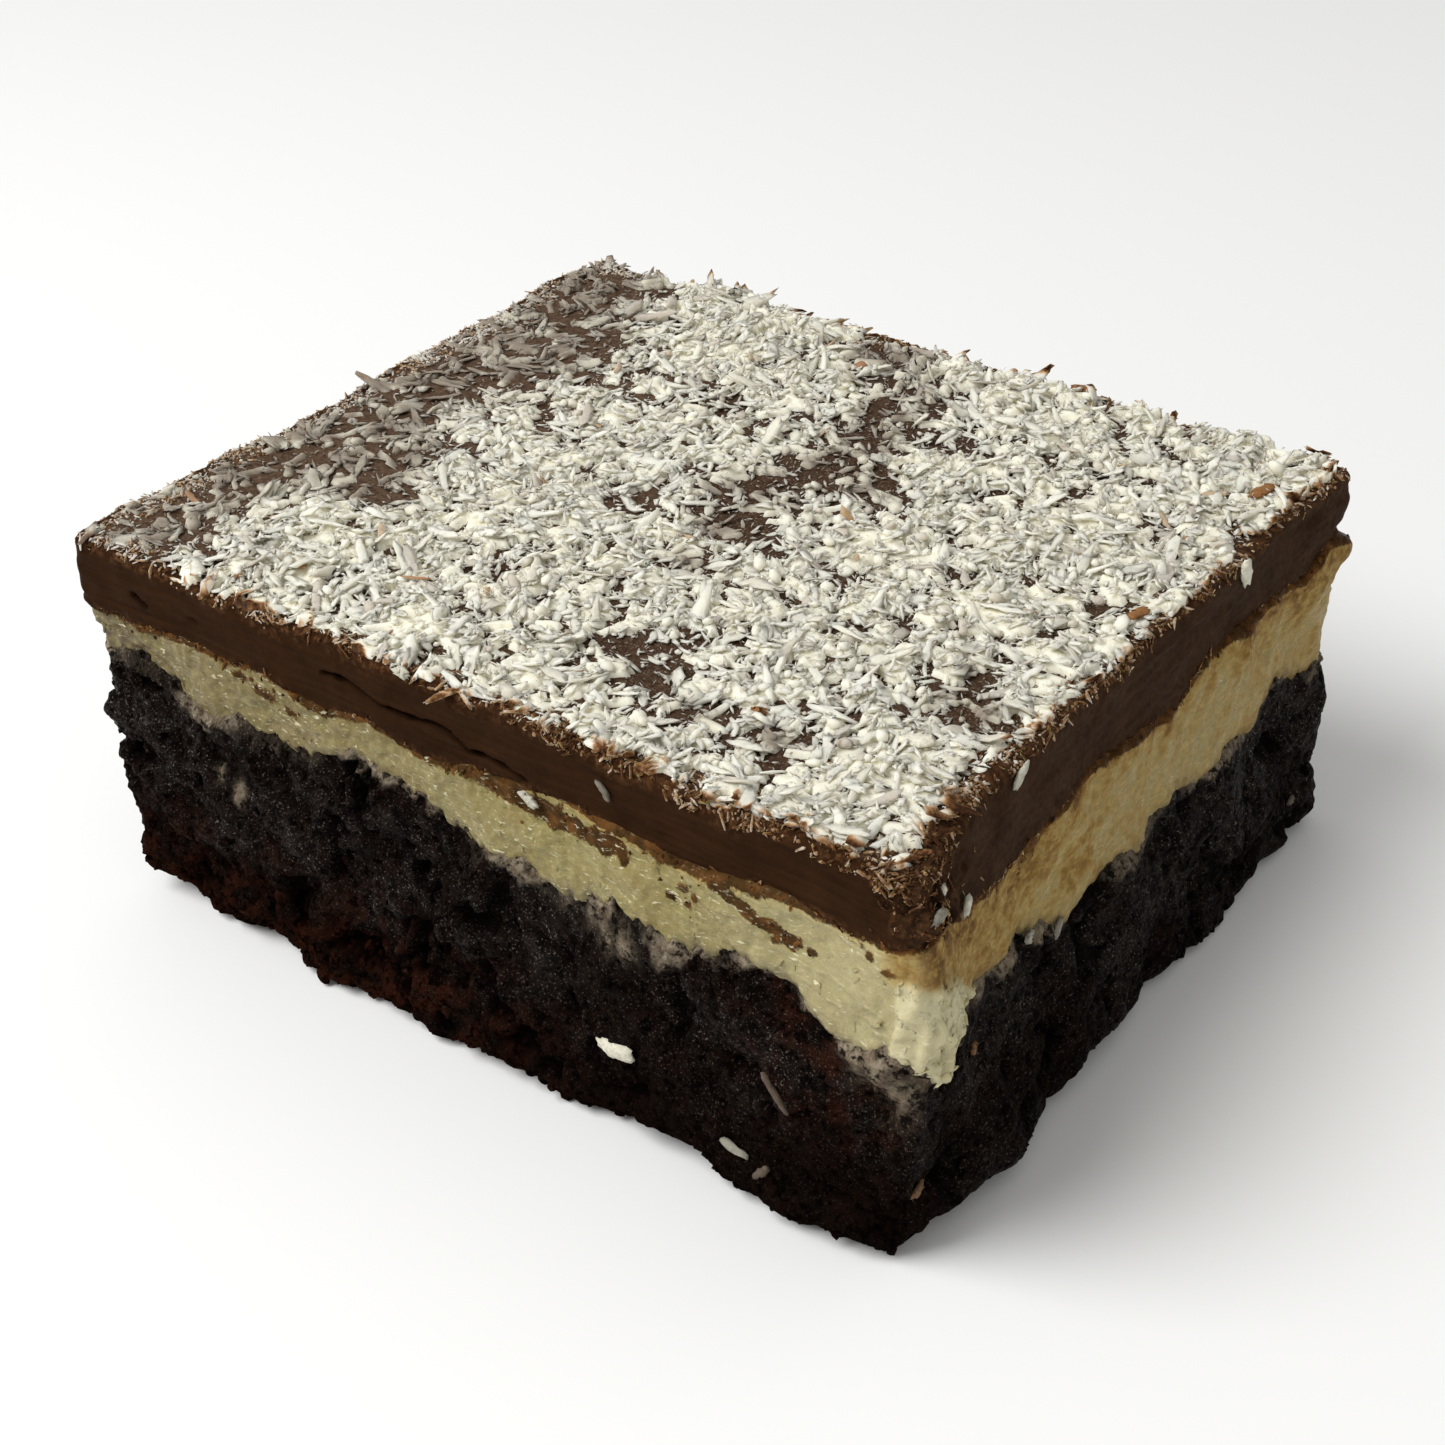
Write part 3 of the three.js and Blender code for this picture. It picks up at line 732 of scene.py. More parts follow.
def piece_object(name, points, faces, smooth):
    """A piece to be strewn, at its own origin, in metres."""
    mesh = bpy.data.meshes.new(name)
    mesh.from_pydata((points * MM).tolist(), [], faces)
    shaped = bmesh.new()
    shaped.from_mesh(mesh)
    bmesh.ops.recalc_face_normals(shaped, faces=shaped.faces)
    shaped.to_mesh(mesh)
    shaped.free()
    mesh.polygons.foreach_set("use_smooth", [smooth] * len(mesh.polygons))
    return bpy.data.objects.new(name, mesh)


def feed(tree, socket, value):
    """Gives a socket a link, a colour or a plain value."""
    if isinstance(value, bpy.types.NodeSocket):
        tree.links.new(value, socket)
    elif socket.type == "RGBA":
        socket.default_value = (*value, 1.0)
    else:
        socket.default_value = value


def add_node(tree, kind, inputs=None, **settings):
    """A node with its settings, and with its inputs by name or number."""
    made = tree.nodes.new(kind)
    for key, value in settings.items():
        setattr(made, key, value)
    for key, value in (inputs or {}).items():
        feed(tree, made.inputs[key], value)
    return made


def math_node(tree, operation, first, second, clamped=False):
    """The result of a Math node."""
    inputs = {0: first, 1: second}
    made = add_node(tree, "ShaderNodeMath", inputs, operation=operation, use_clamp=clamped)
    return made.outputs[0]


def active(sockets, name):
    """The socket of a name that fits the node's data type."""
    return next(socket for socket in sockets if socket.enabled and socket.name == name)


def random_node(tree, kind, low, high, seed, offset):
    """Random Value of one data type; its seed is the group's plus an offset."""
    made = add_node(tree, "FunctionNodeRandomValue", data_type=kind)
    feed(tree, active(made.inputs, "Min"), low)
    feed(tree, active(made.inputs, "Max"), high)
    feed(tree, made.inputs["Seed"], math_node(tree, "ADD", seed, offset))
    return active(made.outputs, "Value")


def strewing_tree():
    """Geometry Nodes: pieces of a collection strewn on a surface by its cover, lying on it."""
    name = "Strewing"
    if name in bpy.data.node_groups:
        return bpy.data.node_groups[name]
    tree = bpy.data.node_groups.new(name, "GeometryNodeTree")
    sizes = dict.fromkeys(("Density", "Smallest", "Largest", "Tilt", "Rise", "Pile"), "Float")
    ports = {
        "Geometry": "Geometry", "Pieces": "Collection", **sizes, "Finish": "Material", "Seed": "Int"}
    for label, kind in ports.items():
        tree.interface.new_socket(label, in_out="INPUT", socket_type="NodeSocket" + kind)
    tree.interface.new_socket("Geometry", in_out="OUTPUT", socket_type="NodeSocketGeometry")
    given = add_node(tree, "NodeGroupInput").outputs
    seed = given["Seed"]

    cover = add_node(
        tree, "GeometryNodeInputNamedAttribute", {"Name": "cover"}, data_type="FLOAT")
    cover = cover.outputs["Attribute"]
    density = math_node(tree, "MULTIPLY", cover, given["Density"])
    scatter = add_node(
        tree, "GeometryNodeDistributePointsOnFaces",
        {"Mesh": given["Geometry"], "Density": density, "Seed": seed},
        distribute_method="RANDOM").outputs

    # Each random value has an offset of its own to the seed. A piece turns freely on the surface
    # and leans a little out of it
    backwards = math_node(tree, "MULTIPLY", given["Tilt"], -1.0)
    lean_x = random_node(tree, "FLOAT", backwards, given["Tilt"], seed, 11)
    lean_y = random_node(tree, "FLOAT", backwards, given["Tilt"], seed, 12)
    spin = random_node(tree, "FLOAT", -math.pi, math.pi, seed, 13)
    angles = add_node(tree, "ShaderNodeCombineXYZ", {0: lean_x, 1: lean_y, 2: spin})
    turn = add_node(tree, "FunctionNodeEulerToRotation", {0: angles.outputs[0]})
    lying = add_node(
        tree, "FunctionNodeRotateRotation",
        {"Rotation": scatter["Rotation"], "Rotate By": turn.outputs[0]}, rotation_space="LOCAL")

    # Small pieces are more common than large ones
    draw = math_node(tree, "POWER", random_node(tree, "FLOAT", 0.0, 1.0, seed, 14), 1.6)
    size = add_node(tree, "ShaderNodeMapRange", {
        "Value": draw, "To Min": given["Smallest"], "To Max": given["Largest"]})
    pieces = add_node(
        tree, "GeometryNodeCollectionInfo",
        {"Collection": given["Pieces"], "Separate Children": True, "Reset Children": True},
        transform_space="ORIGINAL")
    lay = add_node(tree, "GeometryNodeInstanceOnPoints", {
        "Points": scatter["Points"], "Instance": pieces.outputs[0], "Pick Instance": True,
        "Instance Index": random_node(tree, "INT", 0, INDEX_RANGE, seed, 15),
        "Rotation": lying.outputs[0], "Scale": size.outputs["Result"]})

    # The pile is higher where the cover is thick
    heap = random_node(tree, "FLOAT", 0.0, 1.0, seed, 16)
    for share in (given["Pile"], cover):
        heap = math_node(tree, "MULTIPLY", heap, share)
    height = math_node(tree, "ADD", heap, given["Rise"])
    up = add_node(
        tree, "ShaderNodeVectorMath", {0: scatter["Normal"], "Scale": height}, operation="SCALE")
    carry = add_node(
        tree, "GeometryNodeSetPosition", {"Geometry": lay.outputs[0], "Offset": up.outputs[0]})

    shade = add_node(
        tree, "GeometryNodeStoreNamedAttribute", {"Geometry": carry.outputs[0], "Name": "shade"},
        data_type="FLOAT", domain="INSTANCE")
    feed(tree, active(shade.inputs, "Value"), random_node(tree, "FLOAT", 0.0, 1.0, seed, 17))
    real = add_node(tree, "GeometryNodeRealizeInstances", {0: shade.outputs[0]})
    finish = add_node(
        tree, "GeometryNodeSetMaterial", {"Geometry": real.outputs[0], "Material": given["Finish"]})
    add_node(tree, "NodeGroupOutput", {0: finish.outputs[0]})
    return tree


def strew(name, surface, variants, material, seed, density, sizes, tilt, rise=0.0, pile=0.0):
    """Strews variants over a surface and returns them as one plain mesh object."""
    pieces = bpy.data.collections.new(name + "_pieces")
    bpy.context.scene.collection.children.link(pieces)
    for variant in variants:
        pieces.objects.link(variant)
    tree = strewing_tree()
    modifier = surface.modifiers.new("Strewing", "NODES")
    modifier.node_group = tree
    settings = {
        "Pieces": pieces,
        "Density": float(density),
        "Smallest": float(sizes[0]),
        "Largest": float(sizes[1]),
        "Tilt": float(tilt),
        "Rise": float(rise),
        "Pile": float(pile),
        "Finish": material,
        "Seed": int(seed),
    }
    for item in tree.interface.items_tree:
        if item.in_out == "INPUT" and item.name in settings:
            modifier[item.identifier] = settings[item.name]
    surface.update_tag()
    depsgraph = bpy.context.evaluated_depsgraph_get()
    mesh = bpy.data.meshes.new_from_object(surface.evaluated_get(depsgraph), depsgraph=depsgraph)
    surface.modifiers.remove(modifier)
    mesh.name = name
    made = add_object(name, mesh)
    for variant in variants:
        bpy.data.objects.remove(variant)
    bpy.data.collections.remove(pieces)
    if not mesh.polygons:
        raise RuntimeError(f"{name} has no pieces: its surface has no cover")
    return made


def keep_between(obj, lowest, highest):
    """Presses whatever stands out under or over two heights flat against them."""
    places = np.empty(3 * len(obj.data.vertices), np.float32)
    obj.data.vertices.foreach_get("co", places)
    places[2::3] = np.clip(places[2::3], lowest, highest)
    obj.data.vertices.foreach_set("co", places)
    obj.data.update()


def finished(obj, replaced=None, material=None):
    """Gives a piece its material when one is given, puts it under the body, and hides the CAD part that
    it replaces.
    """
    if material is not None:
        obj.data.materials.clear()
        obj.data.materials.append(material)
    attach(obj, BODY)
    if replaced is not None:
        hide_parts(replaced)


# Materials

class Finish:
    """A Principled material with short calls for its nodes."""

    def __init__(self, name):
        self.material = bpy.data.materials.new(name)
        self.material.use_nodes = True
        self.tree = self.material.node_tree
        self.shader = self.tree.nodes["Principled BSDF"]
        self.place = self.node("ShaderNodeTexCoord").outputs["Object"]

    def node(self, kind, inputs=None, **settings):
        return add_node(self.tree, kind, inputs, **settings)

    def noise(self, size_mm, detail=3.0, rough=0.55, stretch=(1, 1, 1), turn=(0, 0, 0)):
        """Noise from 0 to 1 with features of about a size, stretched along an axis."""
        squeeze = [1.0 / share for share in stretch]
        mapping = self.node(
            "ShaderNodeMapping", {"Vector": self.place, "Rotation": turn, "Scale": squeeze})
        made = self.node("ShaderNodeTexNoise", {
            "Vector": mapping.outputs[0], "Scale": 1.0 / (size_mm * MM), "Detail": detail,
            "Roughness": rough})
        return made.outputs["Fac"]

    def attribute(self, key):
        return self.node("ShaderNodeAttribute", attribute_name=key).outputs["Fac"]

    def ramp(self, source, stops):
        """Colour or grey stops over a source's value."""
        made = self.node("ShaderNodeValToRGB", {0: source})
        elements = made.color_ramp.elements
        while len(elements) < len(stops):
            elements.new(0.5)
        for element, (place, tone) in zip(elements, stops):
            element.position = place
            element.color = (*tone, 1.0) if isinstance(tone, tuple) else (tone, tone, tone, 1.0)
        return made.outputs[0]

    def spots(self, low, high, *noise):
        """A ramp between two stops over noise."""
        return self.ramp(self.noise(*noise), [low, high])

    def patchy(self, key, low, high, *noise):
        """An attribute that noise breaks up by a ramp between two stops."""
        return self.math("MULTIPLY", self.attribute(key), self.spots(low, high, *noise))

    def mix(self, share, first, second, blend="MIX"):
        made = self.node("ShaderNodeMix", data_type="RGBA", blend_type=blend)
        values = {"Factor_Float": share, "A_Color": first, "B_Color": second}
        for socket in made.inputs:
            if socket.identifier in values:
                feed(self.tree, socket, values[socket.identifier])
        return next(s for s in made.outputs if s.identifier == "Result_Color")

    def layered(self, colour, layers):
        """Colours laid over one another, each by its share."""
        for share, over in layers:
            colour = self.mix(share, colour, over)
        return colour

    def math(self, operation, first, second):
        """A Math node whose result is kept from 0 to 1."""
        return math_node(self.tree, operation, first, second, clamped=True)

    def relief(self, *layers):
        """Bumps on one another, each with its height, depth in millimetres and strength."""
        under = {}
        for height, depth, strength in layers:
            inputs = {"Height": height, "Distance": depth * MM, "Strength": strength, **under}
            under = {"Normal": self.node("ShaderNodeBump", inputs).outputs[0]}
        return under["Normal"]

    def set(self, **values):
        """Sets the shader's own sockets, by a number, a colour or a link."""
        for key, value in values.items():
            feed(self.tree, self.shader.inputs[key.replace("_", " ")], value)
        return self.material


def shade_of(colour, share):
    return tuple(min(1.0, part * share) for part in colour)


def crumb_finish(colours):
    """Moist dark crumb: near black, red in places, with a painted grey sheen, painted highlights on
    crests and in small glints, painted shade in pits and caves, and milky coconut smears.
    """
    finish = Finish("brownie_crumb")
    crumb = tuple(colours.crumb)
    fine = finish.noise(0.35, 4.0, 0.65)
    sheen = finish.attribute("sheen")
    base = finish.ramp(
        fine, [(0.25, shade_of(crumb, 0.45)), (0.6, crumb), (0.85, shade_of(crumb, 2.0))])
    # A painted highlight on the crests, in spots, where the sheen is
    crest = finish.math("MULTIPLY", finish.attribute("crest"), sheen)
    lit = finish.math("MULTIPLY", crest, finish.spots((0.46, 0.0), (0.62, 0.9), 0.55, 5.0, 0.68))
    creamy = finish.spots((0.35, MILK_DARK), (0.65, MILK_LIGHT), 0.8)
    colour = finish.layered(base, [
        (finish.patchy("red", (0.42, 0.0), (0.62, 1.0), 2.4, 4.0), tuple(colours.crumb_red)),
        (finish.patchy("sheen", (0.48, 0.0), (0.68, 0.9), 1.3, 5.0, 0.62), PAINTED_SHEEN),
        (lit, PAINTED_CREST_HIGHLIGHT),
        (finish.patchy("sheen", (0.59, 0.0), (0.64, 1.0), 0.2, 4.0, 0.7), CRUMB_GLINT),
        (finish.patchy("milk", (0.28, 0.3), (0.55, 1.0), 0.6, 4.0, 0.6), creamy),
        # Painted shade: near-black pits in spots, and the hollows of the relief darkened
        (finish.spots((0.40, 0.92), (0.49, 0.0), 0.9, 5.0, 0.68), PAINTED_PIT_SHADE),
        (finish.math("MULTIPLY", finish.attribute("deep"), 0.85), PAINTED_CAVE_SHADE),
    ])
    grain = finish.relief((finish.noise(0.8, 4.0, 0.7), 0.5, 0.9), (fine, 0.24, 0.9))
    wet = finish.spots((0.35, 0.55), (0.65, 0.22), 0.9)
    gloss = finish.ramp(sheen, [(0.15, 0.0), (0.85, 0.018)])
    return finish.set(Base_Color=colour, Roughness=wet, Normal=grain, Specular_IOR_Level=gloss)


def filling_finish(colours):
    """Soft moist coconut filling: pale strands, cocoa stains and dirt from the crumb."""
    finish = Finish("coconut_filling")
    filling, light, stain = (
        tuple(colours.filling), tuple(colours.filling_light), tuple(colours.stain))
    strands = finish.noise(0.36, 4.0, 0.6, (2.6, 2.6, 1.0), (0.5, 0.6, 0.3))
    crossing = finish.noise(0.36, 4.0, 0.6, (1.0, 1.0, 2.6), (0.7, -0.5, 0.8))
    base = finish.ramp(strands, [(0.3, shade_of(filling, 0.8)), (0.55, filling), (0.75, light)])
    warmth = finish.patchy("warmth", (0.38, 0.4), (0.58, 1.0), 0.8, 4.0, 0.65)
    woven = finish.ramp(strands, [(0.3, 0.8), (0.55, 1.0), (0.75, 1.25)])
    browned = finish.mix(1.0, finish.ramp(warmth, BROWNED), woven, "MULTIPLY")
    # Half the stain and half of fine noise, so that the stain's border is made of small spots
    halves = [
        finish.math("MULTIPLY", source, 0.5)
        for source in (finish.attribute("stain"), finish.noise(0.42, 5.0, 0.78))
    ]
    spotted = finish.math("ADD", *halves)
    tinted = finish.ramp(finish.noise(1.2), [
        (0.35, shade_of(stain, 0.22)), (0.5, shade_of(stain, 0.4)), (0.68, shade_of(stain, 0.85))])
    glints = finish.spots(
        (0.60, 0.0), (0.67, 0.75), 0.24, 3.0, 0.6, (3.0, 3.0, 1.0), (0.4, 0.5, 0.2))
    pale = finish.ramp(finish.attribute("warmth"), [(0.06, 1.0), (0.3, 0.1)])
    for share in (pale, finish.spots((0.4, 0.2), (0.62, 1.0), 2.2, 2.0)):
        glints = finish.math("MULTIPLY", glints, share)
    colour = finish.layered(base, [
        (finish.ramp(crossing, [(0.55, 0.0), (0.75, 0.5)]), light),
        (finish.spots((0.40, 0.0), (0.68, 0.5), 3.0), FILLING_SHADOW),
        (finish.ramp(warmth, [(0.02, 0.0), (0.2, 0.95)]), browned),
        (finish.math("MULTIPLY", finish.attribute("bright"), 0.7), FILLING_LUMP),
        (finish.patchy("dirt", (0.3, 0.35), (0.6, 1.0), 0.8, 4.0, 0.6), FILLING_DIRT),
        (finish.ramp(spotted, [(0.55, 0.0), (0.65, 0.95)]), tinted),
        (glints, FILLING_GLINT),
    ])
    grain = finish.relief(
        (strands, 0.1, 0.7), (crossing, 0.1, 0.7), (finish.noise(0.2, 3.0, 0.6), 0.06, 0.8))
    wet = finish.spots((0.3, 0.42), (0.65, 0.12), 0.5)
    stained = finish.math("MAXIMUM", finish.attribute("warmth"), finish.attribute("stain"))
    gloss = finish.ramp(stained, [(0.05, 0.14), (0.4, 0.01)])
    return finish.set(
        Base_Color=colour, Roughness=wet, Normal=grain, Subsurface_Weight=0.2,
        Subsurface_Radius=(1.0, 0.8, 0.4), Subsurface_Scale=0.0008, Specular_IOR_Level=gloss,
        Specular_Tint=(1.0, 0.86, 0.6))


def ganache_finish(colours):
    """Satin ganache with faint drag lines, a matt dusty top, rubbed brown edges and painted shade in its
    crack and torn hollows.
    """
    finish = Finish("ganache")
    ganache = tuple(colours.ganache)
    base = finish.spots((0.3, shade_of(ganache, 0.72)), (0.7, shade_of(ganache, 1.2)), 3.2, 4.0)
    drag = finish.noise(0.5, 3.0, 0.6, (14.0, 14.0, 1.0))
    rubbed = finish.spots((0.35, RUB_DARK), (0.65, RUB_LIGHT), 0.9)
    colour = finish.layered(base, [
        (finish.ramp(drag, [(0.45, 0.0), (0.7, 0.55)]), shade_of(ganache, 1.6)),
        (finish.patchy("dust", (0.35, 0.2), (0.6, 0.9), 0.5, 5.0, 0.7), COCOA_DUST),
        (finish.patchy("powder", (0.56, 0.0), (0.66, 0.8), 0.2, 4.0, 0.7), COCONUT_POWDER),
        (finish.patchy("rub", (0.45, 0.0), (0.6, 1.0), 0.5, 4.0, 0.65), rubbed),
        # Painted shade in the crack and in the torn corner's hollows
        (finish.attribute("groove"), shade_of(ganache, 0.12)),
    ])
    grain = finish.relief((drag, 0.09, 0.6), (finish.noise(0.45, 4.0, 0.6), 0.12, 0.7))
    gloss = finish.spots((0.3, 0.36), (0.7, 0.5), 1.3)
    return finish.set(
        Base_Color=colour, Roughness=gloss, Normal=grain, Specular_IOR_Level=0.004,
        Specular_Tint=(1.0, 0.64, 0.36))


def coconut_finish(colours, name):
    """Dry coconut: white to cream, with a rare tan chip, stained by cocoa where it is tinted, and dusty
    brown with painted shade on the bare spots.
    """
    finish = Finish(name)
    coconut = tuple(colours.coconut)
    shade = finish.attribute("shade")
    tones = finish.ramp(shade, [
        *RARE_TONES, (0.24, shade_of(coconut, 0.86)), (0.5, shade_of(coconut, 0.98)),
        (1.0, shade_of(coconut, 1.07))])
    base = finish.mix(1.0, tones, finish.spots((0.3, 0.88), (0.7, 1.0), 0.3), "MULTIPLY")
    tint = finish.patchy("tint", (0.3, 0.55), (0.7, 1.0), 0.7, 3.0, 0.6)
    tint = finish.math("SUBTRACT", tint, finish.math("MULTIPLY", shade, 0.36))
    colour = finish.layered(base, [
        (finish.ramp(tint, [(0.01, 0.0), (0.12, 1.0)]), finish.ramp(tint, COCOA_TONES)),
        # Dust and painted shade on the bare spots
        (finish.attribute("dusty_shade"), DUSTY_SHADED_COCONUT),
    ])
    grain = finish.relief((finish.noise(0.16, 3.0, 0.6), 0.05, 0.4))
    gloss = finish.ramp(tint, [(0.02, 0.15), (0.3, 0.01)])
    return finish.set(
        Base_Color=colour, Roughness=0.6, Normal=grain, Specular_IOR_Level=gloss,
        Subsurface_Weight=0.65, Subsurface_Radius=(1.0, 0.95, 0.85), Subsurface_Scale=0.001)


def shaded_finish(name, tones, roughness):
    """Small pieces whose colour goes by their own shade."""
    finish = Finish(name)
    tones = finish.ramp(finish.attribute("shade"), tones)
    colour = finish.mix(1.0, tones, finish.spots((0.3, 0.65), (0.7, 1.0), 0.3), "MULTIPLY")
    grain = finish.relief((finish.noise(0.15, 3.0, 0.6), 0.06, 0.6))
    return finish.set(
        Base_Color=colour, Roughness=roughness, Normal=grain, Specular_IOR_Level=0.03)


def form_of(context):
    return SliceForm(context.scene.brownie_sizes)


# The base

def side_shares(points, form):
    """How much each point belongs to the front and to the right cut side, from 0 to 1."""
    front = smoothstep(SIDE_BLEND, 0.0, points[:, 1] + form.width / 2)
    right = smoothstep(SIDE_BLEND, 0.0, form.length / 2 - points[:, 0])
    return front, right


def crumb_caps(points, size, seed):
    """Rounded crumbs of a size that stand out by different amounts, from about -0.5 to 1."""
    distance, lift = crumb_cells(points, size, seed)
    cap = np.sqrt(np.clip(1.0 - (distance / CAP_REACH) ** 2, 0.0, 1.0))
    return cap * (0.35 + 0.65 * lift) - CAP_SUNK


def crumb_relief(form):
    """Crumbs and small caves of the cut brownie. The right side was pressed smoother."""
    def relief(points, around):
        front, right = side_shares(points, form)
        loose = 1.0 - 0.5 * right * (1.0 - front)
        coarse = 1.0 - 0.55 * smoothstep(-8.0, 22.0, points[:, 0]) * front
        uneven = warped(points, 0.7, 2.2, 31)
        reach = 1.25 * coarse * crumb_caps(uneven, 3.1, 5)
        reach += 0.75 * (0.5 + 0.5 * coarse) * crumb_caps(uneven, 1.5, 9)
        reach += 0.34 * crumb_caps(points, 0.75, 13)
        caves = patches(uneven, 2.7, 21, 0.56, 0.74) * patches(points, 1.1, 22, 0.2, 0.7)
        reach -= 1.9 * coarse * caves
        # Upright marks of the knife on the right side
        knife = noise(flat_points(around / 0.9, points[:, 2] / 9.0), 1.0, 51)
        reach += 0.2 * right * (2.0 * knife - 1.0)
        return loose * reach
    return relief


def teeth(form, table):
    """The rises and dips of a border, at each column."""
    on_front = np.clip(-form.ny, 0.0, 1.0) ** 2
    on_right = np.clip(form.nx, 0.0, 1.0) ** 2
    front = np.interp(form.x, *zip(*table["front"]))
    right = np.interp(form.y, *zip(*table["right"]))
    return on_front * front + on_right * right


def crumb_top(form):
    """Height of the ragged border between crumb and filling, at each column."""
    line = flat_points(form.x, form.y)
    pressed = 0.4 + 0.6 * smoothstep(0.2, 2.0, form.length / 2 - form.x)
    drawn = 1.0 - 0.5 * np.clip(form.nx - form.ny, 0.0, 1.0)
    uneven = 0.7 * drawn * fractal(line, 2.2, 61, 2) + 0.5 * fractal(line, 0.8, 64, 2)
    return form.rim(BROWNIE_TOP) + pressed * uneven + teeth(form, CRUMB_TEETH)


def seam(form):
    """Height of the border between filling and ganache, at each column."""
    past_right = form.y + form.width / 2
    past_front = form.length / 2 - form.x
    worn = 1.4 * np.exp(-(((past_right - 3.8) / 4.4) ** 2) - (past_front / 1.2) ** 2)
    return form.rim(FILLING_TOP) + worn + teeth(form, SEAM_TEETH)


def crumb_marks(form, grid, relief):
    """Red, painted sheen, crests for a painted highlight, depth for painted shade in hollows, and milky
    coconut on the crumb, at each of its points.
    """
    plain = grid.plain.reshape(-1, 3)
    x, y, z = plain.T
    front, right = side_shares(plain, form)
    side = right * (1.0 - front)
    red_foot = smoothstep(17.0, 4.0, z) * smoothstep(16.0, -6.0, x)
    red_corner = smoothstep(24.0, 34.0, x) * smoothstep(8.0, 16.0, z) * front
    red = 0.12 + 0.88 * np.maximum(red_foot, red_corner)
    # Painted sheen: stronger higher up and on the right side, weaker near the front right corner, and
    # broken into patches. It also sets the crumb's real gloss.
    corner = falloff(np.hypot(form.length / 2 - x, y + form.width / 2), 7.0)
    sheen = (0.15 + 0.7 * smoothstep(4.0, 16.0, z) + 0.45 * side) * (1.0 - 0.4 * corner)
    sheen = sheen * (0.5 + 0.55 * patches(plain, 4.2, 25))
    rough = relief(plain, grid.around.ravel())
    # Painted shade in the hollows of the relief, laid on by depth
    deep = smoothstep(0.1, -0.9, rough)
    # Crests of the relief, and the right side as a whole, take a painted highlight
    crest = np.maximum(smoothstep(0.0, 0.9, rough), 0.55 * side)
    # Milky coconut runs down from the filling in drips, and lies in spots on the front side
    drips = 0.3 + 2.6 * noise(plain * np.array([1.0, 1.0, 0.3]), 1.5, 23) ** 2
    milk = smoothstep(1.0, 0.35, (grid.spread(crumb_top(form)) - z) / drips)
    milk = milk * (0.1 + 0.9 * patches(plain, 2.6, 24, 0.3, 0.7))
    for spot_x, spot_z, size in MILK_SPOTS:
        spot = falloff(np.hypot(x - spot_x, (z - spot_z) * 0.6), size)
        milk = np.maximum(milk, front * spot)
    return clipped(red=red, sheen=sheen, deep=deep, crest=crest, milk=milk)


class BROWNIE_OT_base(bpy.types.Operator):
    """Builds the crumbly brownie base"""

    bl_idname = "brownie.base"
    bl_label = "Brownie base"

    SIDE_ROWS = 74
    FOOT_ROWS = 7
    OVERLAP = 0.7
    UNDERSIDE = (0.3, 0.6, 0.82, 0.93)  # scales of the rings under the slice
    TILT = math.radians(40.0)
    DRAW = 100
    SEED = 40

    # Loose crumbs: size, detail of the mesh, number for each square centimetre and their scales
    CRUMBS = {"large": (1.7, 2, 13.0, (0.35, 1.0)), "small": (0.85, 1, 110.0, (0.3, 1.0))}
    KINDS_OF_EACH = 8

    def execute(self, context):
        form = form_of(context)
        grid = self.base_grid(form)
        marks = crumb_marks(form, grid, crumb_relief(form))
        base = closed_layer("brownie_base_crumb", grid, marks)
        material = crumb_finish(context.scene.brownie_finishes)
        finished(base, "brownie_base", material)

        plain = grid.plain.reshape(-1, 3)
        front, right = side_shares(plain, form)
        loose = 1.0 - 0.7 * right * (1.0 - front)
        cover = (0.25 + patches(plain, 4.5, 71, 0.35, 0.75)) * loose
        lowest = len(self.UNDERSIDE)
        side = slice(lowest, lowest + self.FOOT_ROWS + self.SIDE_ROWS - 1)
        # The loose crumbs take no painted shade from the depth
        marks["deep"] = np.zeros_like(cover)
        surface = bed("crumb_bed", grid, side, {"cover": cover, **marks})
        for order, (name, kind) in enumerate(self.CRUMBS.items()):
            size, detail, density, sizes = kind
            draw = np.random.default_rng(self.DRAW + order)
            variants = [
                lump_mesh(f"crumb_{name}_{n}", size, 0.75, 0.2, detail, draw)
                for n in range(self.KINDS_OF_EACH)
            ]
            crumbs = strew(
                f"brownie_crumbs_{name}", surface, variants, material, self.SEED + order,
                density / CM2, sizes, self.TILT, rise=-0.1 * size * MM)
            keep_between(crumbs, 0.0, HIGHEST)
            finished(crumbs)
        bpy.data.objects.remove(surface)
        return {"FINISHED"}

    def base_grid(self, form):
        """Rows from the middle of the underside, round the foot, up the sides and over the top."""
        grid = LayerGrid(form)
        foot = np.maximum(
            FOOT_ROUND_LEAST, form.foot_round + form.waves(FOOT_ROUND_WAVES, form.turns))
        for scale in self.UNDERSIDE:
            grid.row(0.0, scale, inset=foot * scale, rough=0.0)
        for angle in np.linspace(0.0, math.pi / 2, self.FOOT_ROWS):
            grid.row(
                foot * (1 - math.cos(angle)), inset=foot * (1 - math.sin(angle)),
                rough=math.sin(angle) ** 0.7 if angle > 0 else 0.0)
        top = crumb_top(form) + self.OVERLAP
        for share in np.linspace(0.0, 1.0, self.SIDE_ROWS)[1:]:
            z = foot + share * (top - foot)
            near_top = np.clip(1.0 - (top - z) / (2 * self.OVERLAP), 0.0, 1.0)
            grid.row(z, inset=tucked(near_top, 1.3))
        grid.inner_rings(BROWNIE_TOP, (0.93, 0.6, 0.2), 1.5)
        return grid.place(BROWNIE_CRAGS, crumb_relief(form))


# The filling

def strand_ridges(around, z, angle, long, short, seed):
    """Ridges of pressed shreds that run at an angle on the cut side."""
    along = around * math.cos(angle) + z * math.sin(angle)
    across = z * math.cos(angle) - around * math.sin(angle)
    points = np.stack([along / long, across / short, np.full_like(z, seed * 3.7)], axis=1)
    return noise(points, 1.0, seed)


